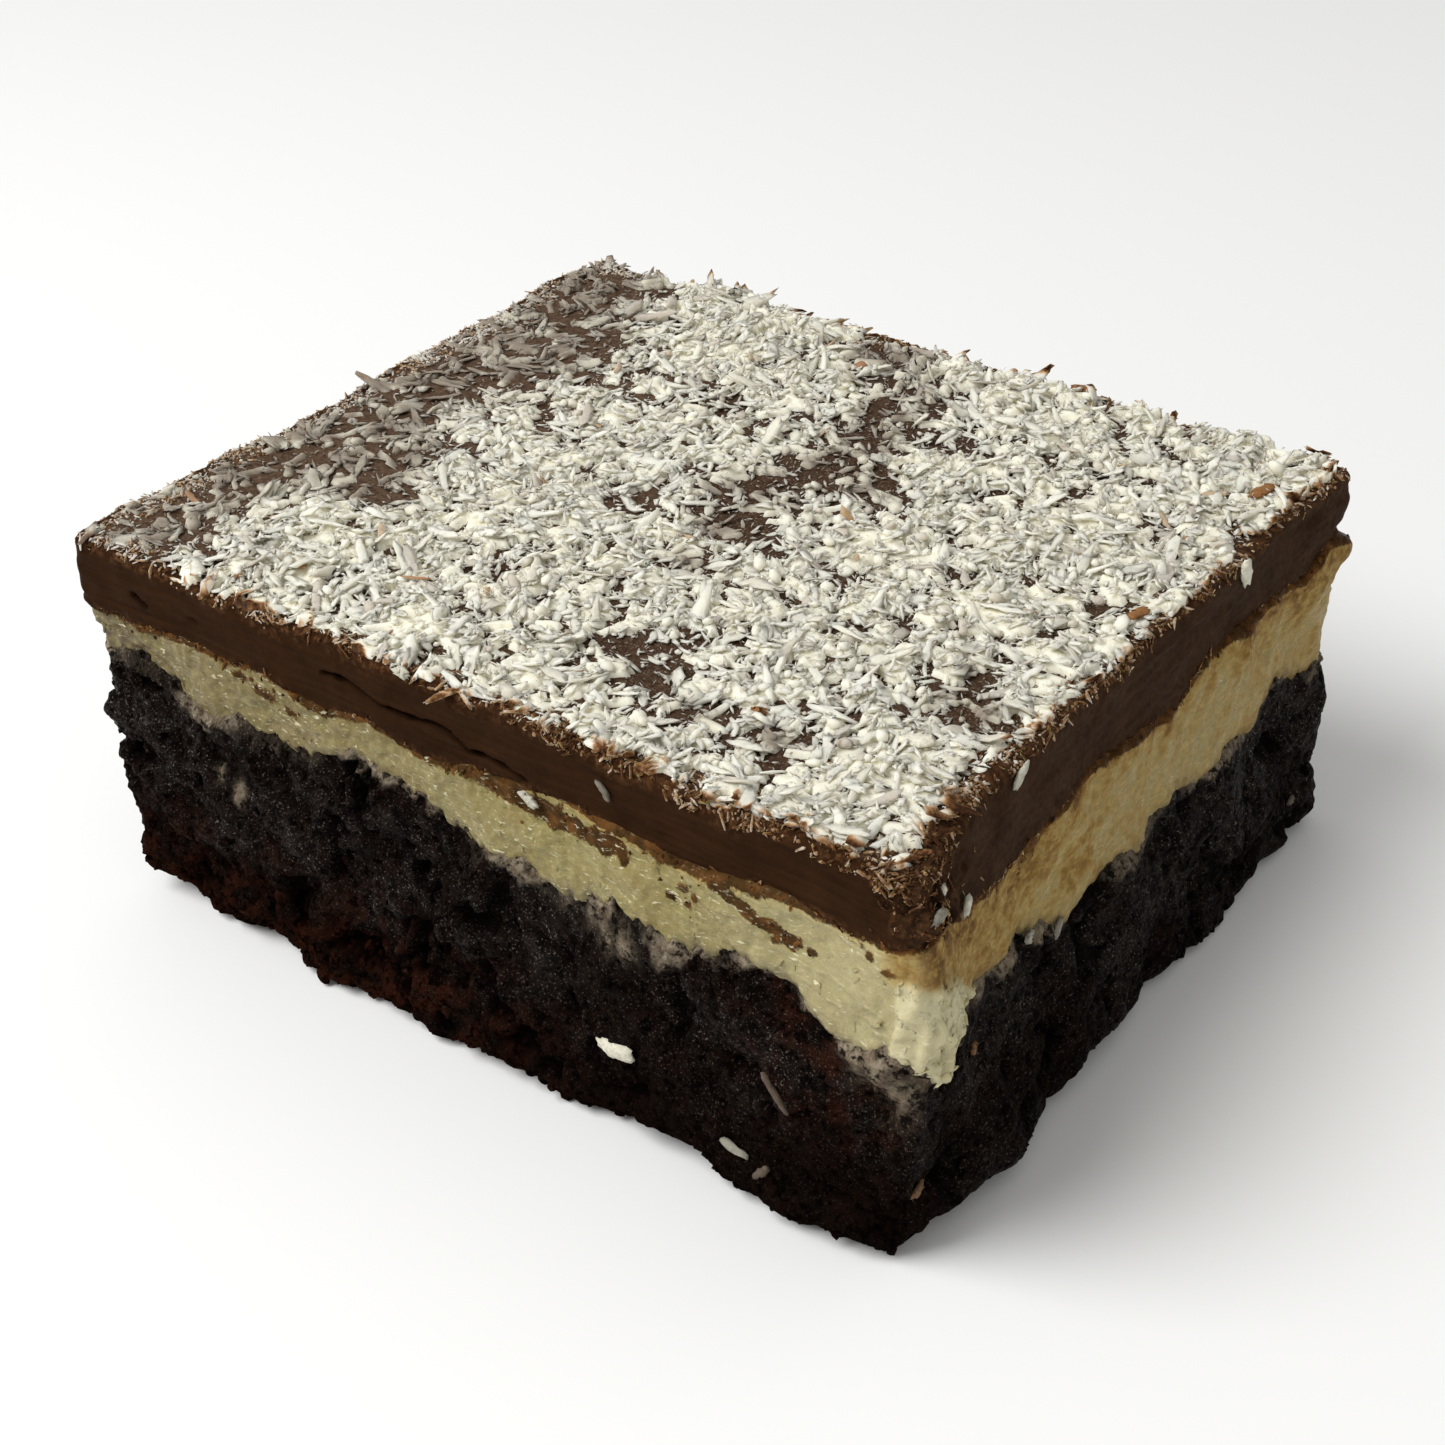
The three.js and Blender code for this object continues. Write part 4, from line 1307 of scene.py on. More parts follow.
def corner_lump(form, points):
    """The share of the bright lump that the knife drew out of the front right corner."""
    x, y, z = points.T
    ragged = fractal(points * np.array([1.0, 1.0, 0.5]), 1.2, 89, 2)
    upper = np.interp(y, *zip(*LUMP_TOP))
    outer = smoothstep(2.3, 1.5, form.length / 2 - x + 0.4 * ragged)
    return outer * smoothstep(-22.6, -23.6, y) * smoothstep(0.3, -0.5, z + 0.5 * ragged - upper)


def back_lip(form, points, height):
    """The share of the small lip at the back right corner, round a height."""
    corner = np.hypot(points[:, 0] - form.length / 2, points[:, 1] - form.width / 2)
    return np.exp(-((corner / 2.6) ** 2) - ((points[:, 2] - height) / 1.1) ** 2)


def filling_relief(form):
    """Pressed shreds, soft smears and the lump at the dragged corner."""
    def relief(points, around):
        _, right = side_shares(points, form)
        z = points[:, 2]
        layers = [
            strand_ridges(around, z, angle, 1.7, 0.5, seed)
            for seed, angle in ((81, 0.45), (82, -0.8), (83, 1.4), (84, -0.1))
        ]
        reach = 0.22 * (1.0 - 0.6 * right) * (np.maximum.reduce(layers) - 0.62)
        reach += 0.34 * fractal(points, 2.4, 86, 3)
        reach += 0.12 * (1.0 - 0.6 * right) * crumb_caps(points, 1.2, 90)
        reach += 0.12 * (1.0 - 0.5 * right) * fractal(points, 0.5, 84, 2)
        drawn = strand_ridges(around, z, 1.1, 4.5, 0.8, 87)
        reach += 0.2 * right * (drawn - 0.5)
        upright = strand_ridges(around, z, 1.45, 2.4, 0.5, 88)
        torn = 0.9 * (upright - 0.5) + 0.5 * fractal(points, 1.4, 85, 3)
        reach += corner_lump(form, points) * (0.25 + torn)
        reach += 0.9 * back_lip(form, points, 28.0)
        return reach
    return relief


def filling_stain(form, plain, top, drawn):
    """Cocoa on the filling: along the seam, in drips and spots, and drawn down the right side."""
    x, y, z = plain.T
    front, right = side_shares(plain, form)
    patch = noise(plain, 2.4, 91)
    late = smoothstep(2.0, 12.0, x) * front
    drips = patches(plain * np.array([1.0, 1.0, 0.35]), 1.3, 90, 0.45, 0.75)
    under = falloff(top - z, 0.3 + 0.6 * patch + (0.4 + 0.9 * late) * drips)
    stain = under * (0.6 + 0.4 * smoothstep(0.35, 0.65, patch))
    stain = np.maximum(stain, smoothstep(0.55, 0.2, top - z))
    for spot_x, spot_z, size in FILLING_SPOTS:
        flatness = 1.0 if size < 1.0 else 2.2
        spot = falloff(np.hypot(x - spot_x, (z - spot_z) * flatness), size)
        stain = np.maximum(stain, front * spot)
    for line, ragged, cell, seed, outer, inner in (FILLING_STREAK, GANACHE_SMEAR):
        distance = line_distance(x, z, line) + ragged * (noise(plain, cell, seed) - 0.5)
        stain = np.maximum(stain, front * smoothstep(outer, inner, distance))
    reach = 0.25 + (1.0 + 2.6 * smoothstep(0.0, -12.0, y)) * smoothstep(0.42, 0.85, drawn)
    return np.maximum(stain, 0.75 * right * smoothstep(1.0, 0.2, (top - z) / reach))


def filling_warmth(form, plain, top, foot, drawn, amber):
    """Brown and amber of the filling, deepest near the front right corner and under the ganache."""
    x, y, z = plain.T
    front, right = side_shares(plain, form)
    ragged = y + 1.5 * fractal(plain, 2.4, 97, 3)
    depth = (top - z) / (top - foot) + 0.12 * fractal(plain, 1.4, 99, 2)
    near = smoothstep(-3.0, -9.0, ragged)
    far = smoothstep(11.0, 18.0, ragged)
    usual, deep, back = (
        np.interp(depth, *zip(*table)) for table in (WARM_USUAL, WARM_NEAR, WARM_FAR))
    deep = deep * (0.6 + 0.4 * smoothstep(-11.0, -18.0, y))
    warmth = right * np.maximum.reduce([usual, near * deep, far * back])
    warmth = warmth * (0.65 + 0.8 * noise(plain, 1.3, 95))
    warmth = warmth + 0.4 * right * (drawn - 0.5) * smoothstep(0.9, 0.2, depth)
    mottled = smoothstep(0.0, 0.5, fractal(plain * np.array([1.0, 1.0, 0.8]), 1.9, 88, 4))
    warmth = np.maximum(warmth, right * (0.36 + 0.3 * near) * mottled)
    warmth = np.maximum(warmth, 0.5 * amber)
    late = smoothstep(2.0, 12.0, x) * front
    seamed = (1.0 - right) * (0.14 + 0.12 * late) * smoothstep(1.3, 0.2, top - z)
    return np.maximum(warmth, seamed * (0.5 + noise(plain, 2.4, 91)))


def filling_marks(form, grid):
    """Cocoa stains, warm colour, dirt and brightness of the filling, at each of its points."""
    plain = grid.plain.reshape(-1, 3)
    x, _, z = plain.T
    front, _ = side_shares(plain, form)
    top = grid.spread(seam(form))
    foot = grid.spread(crumb_top(form))
    clean = 1.0 - corner_lump(form, plain)
    drawn = strand_ridges(grid.around.ravel(), z, 1.1, 5.0, 0.7, 93)
    ragged = fractal(plain, 2.4, 97, 3)
    amber = front * smoothstep(3.4, 1.0, form.length / 2 - x + 0.8 * ragged)
    amber = amber * smoothstep(26.6, 28.4, z + 0.6 * ragged)
    stain = filling_stain(form, plain, top, drawn)
    warmth = filling_warmth(form, plain, top, foot, drawn, amber)
    low = falloff(z - foot, 0.3 + 0.8 * noise(plain, 1.8, 94))
    dirt = np.maximum(0.7 * low, front * np.interp(x, *zip(*LEFT_DIRT)))
    dirt = dirt * (0.1 + 0.9 * clean)
    bright = 0.35 * front * smoothstep(22.0, 36.0, x) * (1.0 - amber)
    bright = np.maximum(1.0 - clean, bright)
    return clipped(stain=stain * clean, warmth=warmth * clean, dirt=dirt, bright=bright)


class BROWNIE_OT_filling(bpy.types.Operator):
    """Builds the coconut filling with the shreds that show in its cut sides"""

    bl_idname = "brownie.filling"
    bl_label = "Coconut filling"

    ROWS = 40
    INNER = (0.5, 0.93)
    LOWER, UPPER = 0.7, 0.5  # how far the filling reaches into its neighbours
    DRAW = 300
    SHRED_SEED, CRUMB_SEED = 310, 320

    def execute(self, context):
        form = form_of(context)
        grid = LayerGrid(form)
        bottom = crumb_top(form) - self.LOWER
        top = seam(form) + self.UPPER
        grid.inner_rings(BROWNIE_TOP, self.INNER, 1.2)
        for share in np.linspace(0.0, 1.0, self.ROWS):
            z = bottom + share * (top - bottom)
            low = np.clip(1.0 - (z - bottom) / (2 * self.LOWER), 0.0, 1.0)
            high = np.clip(1.0 - (top - z) / (2 * self.UPPER), 0.0, 1.0)
            near = np.maximum(low, high)
            grid.row(z, inset=tucked(near, 1.1))
        grid.inner_rings(FILLING_TOP, self.INNER[::-1], 1.2)
        grid = grid.place(FILLING_CRAGS, filling_relief(form))
        marks = filling_marks(form, grid)
        filling = closed_layer("coconut_filling_mass", grid, marks)
        material = filling_finish(context.scene.brownie_finishes)
        finished(filling, "coconut_filling", material)
        self.strew_side(context, form, grid, marks, material)
        return {"FINISHED"}

    def strew_side(self, context, form, grid, marks, material):
        """Shreds that stand out of the cut sides, and cocoa crumbs where the filling is stained."""
        draw = np.random.default_rng(self.DRAW)
        side = slice(len(self.INNER), len(self.INNER) + self.ROWS)
        plain = grid.plain.reshape(-1, 3)
        _, right = side_shares(plain, form)
        share = 0.12 * (1.0 - right) + 1.4 * corner_lump(form, plain)
        surface = bed("filling_bed", grid, side, {"cover": share, **marks})
        pressed = shreds(
            "strand", 12, (0.7, 1.9), (0.3, 0.6), 0.36, draw, stations=4, bend=0.2, arch=0.1)
        strands = strew(
            "filling_shreds", surface, pressed, material, self.SHRED_SEED, 110 / CM2, (0.5, 1.0),
            math.radians(24.0), rise=-0.08 * MM)
        finished(strands)
        bpy.data.objects.remove(surface)
        crumbly = marks["stain"] ** 1.5 * patches(plain, 1.4, 96, 0.35, 0.6) * (1.0 - 0.6 * right)
        surface = bed("stain_bed", grid, side, {"cover": crumbly})
        stain = tuple(context.scene.brownie_finishes.stain)
        cocoa = shaded_finish("cocoa_crumbs", [
            (0.0, shade_of(stain, 0.16)), (0.5, shade_of(stain, 0.5)), (1.0, shade_of(stain, 1.3))],
            0.45)
        lumps = [lump_mesh(f"cocoa_{n}", 0.5, 0.45, 0.4, 1, draw) for n in range(8)]
        crumbs = strew(
            "cocoa_crumbs", surface, lumps, cocoa, self.CRUMB_SEED, 420 / CM2, (0.3, 1.2),
            math.radians(30.0), rise=-0.04 * MM)
        finished(crumbs)
        bpy.data.objects.remove(surface)


# The ganache

def torn_corner(form, points):
    """The share of the torn front right corner of the ganache, from 0 to 1."""
    past_front = (form.length / 2 - points[:, 0]) / 1.9
    past_right = (points[:, 1] + form.width / 2 - 2.0) / 4.6
    return np.exp(-(past_front**2) - past_right**2)


def ganache_relief(form):
    """Smooth ganache with faint drag lines, a long crack, a pit and crumbly upper and lower edges."""
    top = form.rim(GANACHE_TOP)
    foot = seam(form)

    def relief(points, around):
        x, y, z = points.T
        front, right = side_shares(points, form)
        drag = noise(flat_points(around / 7.0, z / 0.6), 1.0, 101)
        reach = 0.12 * (2.0 * drag - 1.0) + 0.12 * fractal(points, 2.2, 102, 3)
        wander = 0.22 * fractal(points, 1.4, 103, 3)
        for line, depth in ((GANACHE_CRACK, 0.7), (SIDE_CRACK, 0.5)):
            gap = line_distance(x, z + wander, line) / CRACK_WIDTH
            reach -= depth * front * smoothstep(2.2, 0.4, gap)
        pit_x, pit_z = GANACHE_PIT
        reach -= 0.7 * front * falloff(np.hypot(x - pit_x, (z - pit_z) * 1.6), 0.5)
        rows = len(z) // len(top)
        near_top = smoothstep(1.5, 0.2, np.tile(top, rows) - z)
        near_foot = smoothstep(1.4, 0.2, z - np.tile(foot, rows)) * (0.5 + 0.5 * right)
        crumbs = 0.34 * crumb_caps(points, 0.9, 106) + 0.14 * fractal(points, 0.5, 107, 2)
        reach += np.maximum(near_top, near_foot) * crumbs
        lumps = 1.5 * crumb_caps(warped(points, 0.5, 1.5, 134), 2.3, 104)
        reach += torn_corner(form, points) * (lumps + 0.5 * fractal(points, 0.9, 105, 2) - 0.1)
        reach -= 0.9 * back_lip(form, points, 30.4)
        return reach
    return relief


def slab_surface(form, x, y):
    """Height of the ganache's top away from its edges."""
    spots = flat_points(x, y)
    swell = 0.16 * fractal(spots, 4.5, 141, 3) + 0.05 * fractal(spots, 0.9, 142, 2)
    return form.border(GANACHE_TOP, x, y) + swell.reshape(x.shape)


def cover_at(x, y):
    """The share of the top that coconut covers, from 0 to 1."""
    cover = np.full_like(x, USUAL_COVER)
    for spot_x, spot_y, reach_x, reach_y, change in COVER_SPOTS:
        distance = ((x - spot_x) / reach_x) ** 2 + ((y - spot_y) / reach_y) ** 2
        cover = cover + change * np.exp(-distance)
    return np.clip(cover, LEAST_COVER, 1.0)


def clumped(x, y):
    """The cover broken up into clumps and gaps, from 0 in a gap to 1 in a clump."""
    spots = flat_points(x, y)
    clumps = (
        0.15 * noise(spots, 4.0, 111) + 0.4 * noise(spots, 1.7, 112) + 0.45 * noise(spots, 1.0, 113))
    clumps = clumps.reshape(x.shape)
    cover = cover_at(x, y)
    limit = 0.5 + 0.24 * (1.0 - 2.0 * cover)
    broken = smoothstep(limit - 0.2, limit + 0.2, clumps)
    sparse = smoothstep(0.6, 0.25, cover) * smoothstep(0.36, 0.6, clumps)
    return np.maximum(broken * (0.4 + 0.6 * smoothstep(0.1, 0.4, cover)), 0.55 * sparse)


def edge_distance(form, x, y):
    """Distance in from the outline in plan."""
    return np.minimum(form.length / 2 - np.abs(x), form.width / 2 - np.abs(y))


class BROWNIE_OT_ganache(bpy.types.Operator):
    """Builds the ganache slab with stained crumbs along its edge"""

    bl_idname = "brownie.ganache"
    bl_label = "Ganache"

    SIDE_ROWS = 40
    EDGE_ROWS = 6
    TOP_ROWS = 26
    OVERLAP = 0.25
    TOP_REACH = 0.985  # how far the rings on the top run in, as a share of the way to the middle
    FADING = 12  # the edge's rounding and relief fade out in one part of so many of that way
    UNDERSIDE = (0.5, 0.93)  # scales of the rings under the slab
    DRAW = 500
    SEED = 77

    def execute(self, context):
        form = form_of(context)
        grid = self.slab_grid(form)
        edge = len(self.UNDERSIDE) + self.SIDE_ROWS + self.EDGE_ROWS
        top = np.zeros(grid.around.shape)
        top[edge:] = 1.0
        heights = grid.points[..., 2].ravel()
        below = grid.spread(form.rim(GANACHE_TOP)) - heights
        above = heights - grid.spread(seam(form))
        marks = self.slab_marks(form, grid.plain.reshape(-1, 3), top.ravel(), below, above)
        slab = closed_layer("ganache_slab_body", grid, marks)
        finishes = context.scene.brownie_finishes
        finished(slab, "ganache_slab", ganache_finish(finishes))
        self.strew_edge(context, form, grid, edge, below, above)
        return {"FINISHED"}

    def slab_marks(self, form, plain, top, below, above):
        """Dust and coconut powder on the top, and on the sides painted shade in the crack and the torn
        hollows, and rubbed edges.
        """
        front, right = side_shares(plain, form)
        side = 1.0 - top
        crack = np.minimum(*(
            line_distance(plain[:, 0], plain[:, 2], line) for line in (GANACHE_CRACK, SIDE_CRACK)))
        torn = torn_corner(form, plain)
        # Painted shade in the long crack, and in patches of hollows in the torn corner
        groove = 0.9 * front * smoothstep(0.34, 0.1, crack) * side
        hollow_shade = 0.8 * torn * patches(plain, 1.5, 123, 0.52, 0.64) * side
        upper = falloff(below, 0.35 + 0.9 * noise(plain, 2.0, 121))
        lower = falloff(above, 0.15 + 0.5 * noise(plain, 2.6, 122))
        rub = side * np.maximum.reduce([upper, 0.75 * lower, 0.9 * torn])
        cover = cover_at(plain[:, 0], plain[:, 1])
        dust = top * (0.5 + 0.5 * smoothstep(0.55, 0.2, cover))
        dust = np.maximum(dust, right * (0.24 + 0.16 * fractal(plain, 3.0, 124, 4)))
        return clipped(
            dust=dust, powder=top * (0.25 + 0.75 * cover), groove=np.maximum(groove, hollow_shade), rub=rub)

    def slab_grid(self, form):
        """Rows from the underside up the sides, round the upper edge and in over the top."""
        grid = LayerGrid(form)
        line = flat_points(form.x, form.y)
        ragged = 0.28 * fractal(line, 1.6, 132, 3)
        bottom = seam(form) - self.OVERLAP + ragged
        top = form.rim(GANACHE_TOP)
        chipped = 0.3 * fractal(line, 1.5, 131, 3)
        grid.inner_rings(FILLING_TOP, self.UNDERSIDE, 0.6)
        for share in np.linspace(0.0, 1.0, self.SIDE_ROWS):
            z = bottom + share * (top - form.edge_round - bottom)
            near = np.clip(1.0 - (z - bottom) / 0.6, 0.0, 1.0)
            grid.row(z, inset=0.5 * near**2)
        for angle in np.linspace(0.0, math.pi / 2, self.EDGE_ROWS + 1)[1:]:
            drop = form.edge_round * (1 - math.sin(angle))
            inset = form.edge_round * (1 - math.cos(angle)) + chipped * math.sin(angle)
            grid.row(top - drop, inset=inset)
        for share in np.linspace(0.0, 1.0, self.TOP_ROWS)[1:]:
            scale = 1.0 - self.TOP_REACH * share
            fade = max(0.0, 1.0 - share * self.FADING)
            z = slab_surface(form, scale * form.x, scale * form.y)
            z = z + fade * (top - slab_surface(form, form.x, form.y))
            grid.row(z, scale, inset=form.edge_round * fade, rough=fade)
        return grid.place(GANACHE_CRAGS, ganache_relief(form))

    def strew_edge(self, context, form, grid, edge, below, above):
        """Stained shreds and crumbs along the upper edge, in the torn corner and on the lower edge."""
        draw = np.random.default_rng(context.scene.brownie_strewing.seed + self.DRAW)
        plain = grid.plain.reshape(-1, 3)
        _, right = side_shares(plain, form)
        torn = torn_corner(form, plain)
        patch = patches(plain, 2.6, 151, 0.3, 0.65)
        near_corner = smoothstep(-10.0, 30.0, plain[:, 0]) * smoothstep(0.0, -20.0, plain[:, 1])
        reach = (0.15 + 0.75 * noise(plain, 1.7, 152)) * (1.0 + 0.7 * near_corner + 0.3 * right)
        cover = (0.25 + 0.7 * patch) * smoothstep(1.0, 0.4, below / reach)
        cover = np.maximum(cover, 0.3 * torn * patch)
        cover = np.maximum(cover, 0.3 * (0.7 + 0.6 * right) * smoothstep(0.7, 0.1, above) * patch)
        tint = 0.48 + 0.4 * noise(plain, 1.1, 153) + 0.25 * below / reach + 0.3 * torn
        tint = tint - 0.25 * smoothstep(-8.0, -26.0, plain[:, 0])
        tint = np.clip(tint, 0.0, 1.0)
        rows = slice(len(self.UNDERSIDE), edge + 2)
        surface = bed("edge_bed", grid, rows, {"cover": cover, "tint": tint})
        material = coconut_finish(context.scene.brownie_finishes, "stained_coconut")
        fringe = shreds(
            "stained", 10, (0.5, 1.4), (0.22, 0.5), 0.24, draw, sides=4, stations=3, bend=0.12,
            arch=0.1)
        grit = [lump_mesh(f"speck_{n}", 0.4, 0.6, 0.3, 1, draw, smooth=True) for n in range(8)]
        kinds = (("stained_shreds", fringe, 560), ("stained_grit", grit, 600))
        for order, (name, variants, density) in enumerate(kinds):
            crumbs = strew(
                name, surface, variants, material, self.SEED + order, density / CM2, (0.45, 1.15),
                math.radians(32.0), rise=0.02 * MM)
            finished(crumbs)
        bpy.data.objects.remove(surface)


# The coconut on top

def splat_shreds(form, gx, gy, step, draw, count):
    """Heights from 0 to 1 of a heap of shreds, laid one over another on a grid."""
    heap = np.zeros_like(gx)
    x = draw.uniform(gx.min(), gx.max(), count)
    y = draw.uniform(gy.min(), gy.max(), count)
    thickness = clumped(x, y) * smoothstep(0.2, 1.4, edge_distance(form, x, y))
    kept = thickness > draw.uniform(0.1, 1.0, count)
    for shred_x, shred_y, thick in zip(x[kept], y[kept], cover_at(x[kept], y[kept])):
        length, width = draw.uniform(1.1, 3.0), draw.uniform(0.5, 1.1)
        angle = draw.uniform(0.0, math.pi)
        base = draw.uniform(0.02, 0.75) * thick
        column = round((shred_x - gx.min()) / step)
        row = round((shred_y - gy.min()) / step)
        reach = math.ceil(length / 2 / step)
        rows = slice(max(row - reach, 0), row + reach + 1)
        columns = slice(max(column - reach, 0), column + reach + 1)
        dx = gx[rows, columns] - shred_x
        dy = gy[rows, columns] - shred_y
        along = (dx * math.cos(angle) + dy * math.sin(angle)) / (length / 2)
        across = (dy * math.cos(angle) - dx * math.sin(angle)) / (width / 2)
        inside = (np.abs(along) < 1.0) & (np.abs(across) < 1.0)
        rise = base + 0.25 * np.sqrt(np.clip(1.0 - across**2, 0.0, 1.0))
        heap[rows, columns] = np.where(inside, np.maximum(heap[rows, columns], rise), heap[rows, columns])
    return heap


def cocoa_tint(form, x, y):
    """How far cocoa has stained the coconut near the edge of the top, from 0 to 1."""
    spots = flat_points(x, y)
    width = 1.3 + 0.5 * smoothstep(-10.0, 30.0, x) * smoothstep(0.0, -20.0, y)
    ragged = 0.6 * fractal(spots, 1.6, 161, 2) + 0.4 * fractal(spots, 0.5, 163, 2)
    return smoothstep(width, 0.0, edge_distance(form, x, y) + ragged)


def dust_and_shade(x, y):
    """How dusty and brown the sparse coconut is on the bare spots, with painted shade for flakes that lie
    low there, from 0 to 1.
    """
    bare = smoothstep(0.6, 0.2, cover_at(x, y))
    return np.clip(bare * (0.3 + 1.1 * noise(flat_points(x, y), 1.2, 164)), 0.0, 0.9)


def repaint(obj, key, values_at):
    """Paints an attribute anew from each point's own place in plan, in millimetres."""
    places = np.empty(3 * len(obj.data.vertices))
    obj.data.vertices.foreach_get("co", places)
    places = places.reshape(-1, 3) / MM - CENTRE_SHIFT
    if key in obj.data.attributes:
        obj.data.attributes.remove(obj.data.attributes[key])
    paint(obj, key, values_at(places[:, 0], places[:, 1]))


class BROWNIE_OT_coconut(bpy.types.Operator):
    """Heaps and strews coconut flakes over the ganache"""

    bl_idname = "brownie.coconut"
    bl_label = "Coconut on top"

    STEP = 0.27  # of the heap's grid
    EDGE_GAP = 0.5
    CORNER = 2.6
    SUNK = 0.45  # how far the heap dips into the ganache where no shred lies
    FLOOR_DEPTH = 2.0
    HEAPED_SHREDS = 4200

    def execute(self, context):
        form = form_of(context)
        strewing = context.scene.brownie_strewing
        draw = np.random.default_rng(strewing.seed)
        half_x = form.length / 2 - self.EDGE_GAP
        half_y = form.width / 2 - self.EDGE_GAP
        across = np.arange(-half_x, half_x, self.STEP)
        deep = np.arange(-half_y, half_y, self.STEP)
        gx, gy = self.rounded(across[-1], deep[-1], *np.meshgrid(across, deep))
        heap = splat_shreds(form, gx, gy, self.STEP, draw, self.HEAPED_SHREDS)
        ground = slab_surface(form, gx, gy)
        # The heap is higher along the back side
        height = heap * strewing.pile / MM * (1.0 + 0.8 * smoothstep(22.0, 31.0, gy))
        px, py = form.shifted(gx, gy, ground)
        spots = np.stack([gx, gy, ground], axis=-1).reshape(-1, 3)
        edge = edge_distance(form, gx, gy).ravel()
        tint = cocoa_tint(form, gx.ravel(), gy.ravel())
        shade = noise(spots, 0.8, 162)
        sunk = np.where(heap > 0.0, height, -self.SUNK)
        material = coconut_finish(context.scene.brownie_finishes, "coconut_flakes")
        heaped = self.closed_heap(
            np.stack([px, py, ground + sunk], axis=-1), ground.min() - self.FLOOR_DEPTH)
        hidden = np.full(len(heaped.data.vertices) - gx.size, 0.5)
        dusty_shade = dust_and_shade(gx.ravel(), gy.ravel())
        for key, values in (("tint", tint), ("dusty_shade", dusty_shade), ("shade", 0.25 + 0.75 * shade)):
            paint(heaped, key, np.concatenate([values, hidden]))
        finished(heaped, material=material)

        rows, columns = gx.shape
        cell = (np.arange(rows - 1)[:, None] * columns + np.arange(columns - 1)[None, :]).ravel()
        quads = np.stack([cell, cell + 1, cell + columns + 1, cell + columns], axis=-1)
        surface = mesh_from(
            "top_bed", np.stack([px, py, ground + height], axis=-1).reshape(-1, 3), [quads])
        inner = smoothstep(0.1, 1.3, edge)
        clumps = clumped(gx, gy).ravel() * inner
        loose = cover_at(gx, gy).ravel() * inner
        paint(surface, "tint", tint)
        self.strew_top(form, strewing, surface, (clumps, loose), material, draw)
        bpy.data.objects.remove(surface)
        return {"FINISHED"}

    def rounded(self, half_length, half_width, x, y):
        """The grid with its corners drawn in to quarter circles."""
        over_x = np.clip(np.abs(x) - half_length + self.CORNER, 0.0, self.CORNER)
        over_y = np.clip(np.abs(y) - half_width + self.CORNER, 0.0, self.CORNER)
        inward_x = over_x * (1.0 - np.sqrt(1.0 - 0.5 * (over_y / self.CORNER) ** 2))
        inward_y = over_y * (1.0 - np.sqrt(1.0 - 0.5 * (over_x / self.CORNER) ** 2))
        return x - np.sign(x) * inward_x, y - np.sign(y) * inward_y

    def closed_heap(self, top, floor):
        """The heap's upper side, closed by walls and a floor inside the ganache."""
        rows, columns, _ = top.shape
        index = np.arange(rows * columns).reshape(rows, columns)
        quads = np.stack(
            [index[:-1, :-1], index[:-1, 1:], index[1:, 1:], index[1:, :-1]], axis=-1).reshape(-1, 4)
        rim = np.concatenate([index[0, :-1], index[:-1, -1], index[-1, :0:-1], index[:0:-1, 0]])
        points = top.reshape(-1, 3)
        low = points[rim] * np.array([1.0, 1.0, 0.0]) + np.array([0.0, 0.0, floor])
        middle = low.mean(axis=0, keepdims=True)
        here = rows * columns + np.arange(len(rim))
        after = np.roll(here, -1)
        walls = np.stack([here, after, np.roll(rim, -1), rim], axis=-1)
        centre = np.full(len(rim), rows * columns + len(rim))
        fan = np.stack([after, here, centre], axis=-1)
        return mesh_from("coconut_heap", np.concatenate([points, low, middle]), [quads, walls, fan])

    def strew_top(self, form, strewing, surface, covers, material, draw):
        """Shreds and chips lie mostly in clumps, while bits and dust lie everywhere."""
        clumps, loose = covers
        long = shreds(
            "long", 14, (2.8, 5.0), (0.75, 1.35), 0.32, draw, stations=6, bend=0.12, arch=0.07)
        short = shreds("short", 20, (1.3, 2.8), (0.5, 1.1), 0.28, draw, bend=0.14, arch=0.1)
        chips = [
            lump_mesh(
                f"chip_{n}", draw.uniform(0.7, 1.3), draw.uniform(0.4, 0.7), 0.2, 1, draw,
                smooth=True)
            for n in range(10)
        ]
        bits = shreds(
            "bit", 10, (0.7, 1.5), (0.3, 0.62), 0.22, draw, sides=4, stations=3, bend=0.12,
            arch=0.1)
        dust = shreds("dust", 8, (0.3, 0.55), (0.2, 0.32), 0.2, draw, sides=4, stations=2)
        # For each kind: number for each square centimetre, share that lies outside the clumps,
        # least and greatest scale, and share of the usual tilt
        kinds = {
            "long_shreds": (long, strewing.long_count, 0.1, (0.6, 1.1), 0.45),
            "short_shreds": (short, strewing.short_count, 0.3, (0.6, 1.1), 0.9),
            "chips": (chips, strewing.chip_count, 0.4, (0.5, 1.15), 1.0),
            "bits": (bits, strewing.bit_count, 0.6, (0.5, 1.1), 1.2),
            "dust": (dust, strewing.dust_count, 0.9, (0.5, 1.1), 1.2),
        }
        layer = surface.data.attributes.new("cover", "FLOAT", "POINT")
        for order, (name, kind) in enumerate(kinds.items()):
            variants, density, scattered, sizes, lean = kind
            cover = clumps + scattered * (loose**0.7 - clumps)
            layer.data.foreach_set("value", np.ascontiguousarray(cover, np.float32))
            made = strew(
                "coconut_" + name, surface, variants, material, strewing.seed + 10 * order,
                density / CM2, sizes, strewing.tilt * lean, rise=0.1 * MM, pile=0.3 * MM)
            keep_between(made, 0.0, HIGHEST)
            repaint(made, "tint", lambda x, y: cocoa_tint(form, x, y))
            repaint(made, "dusty_shade", dust_and_shade)
            finished(made)


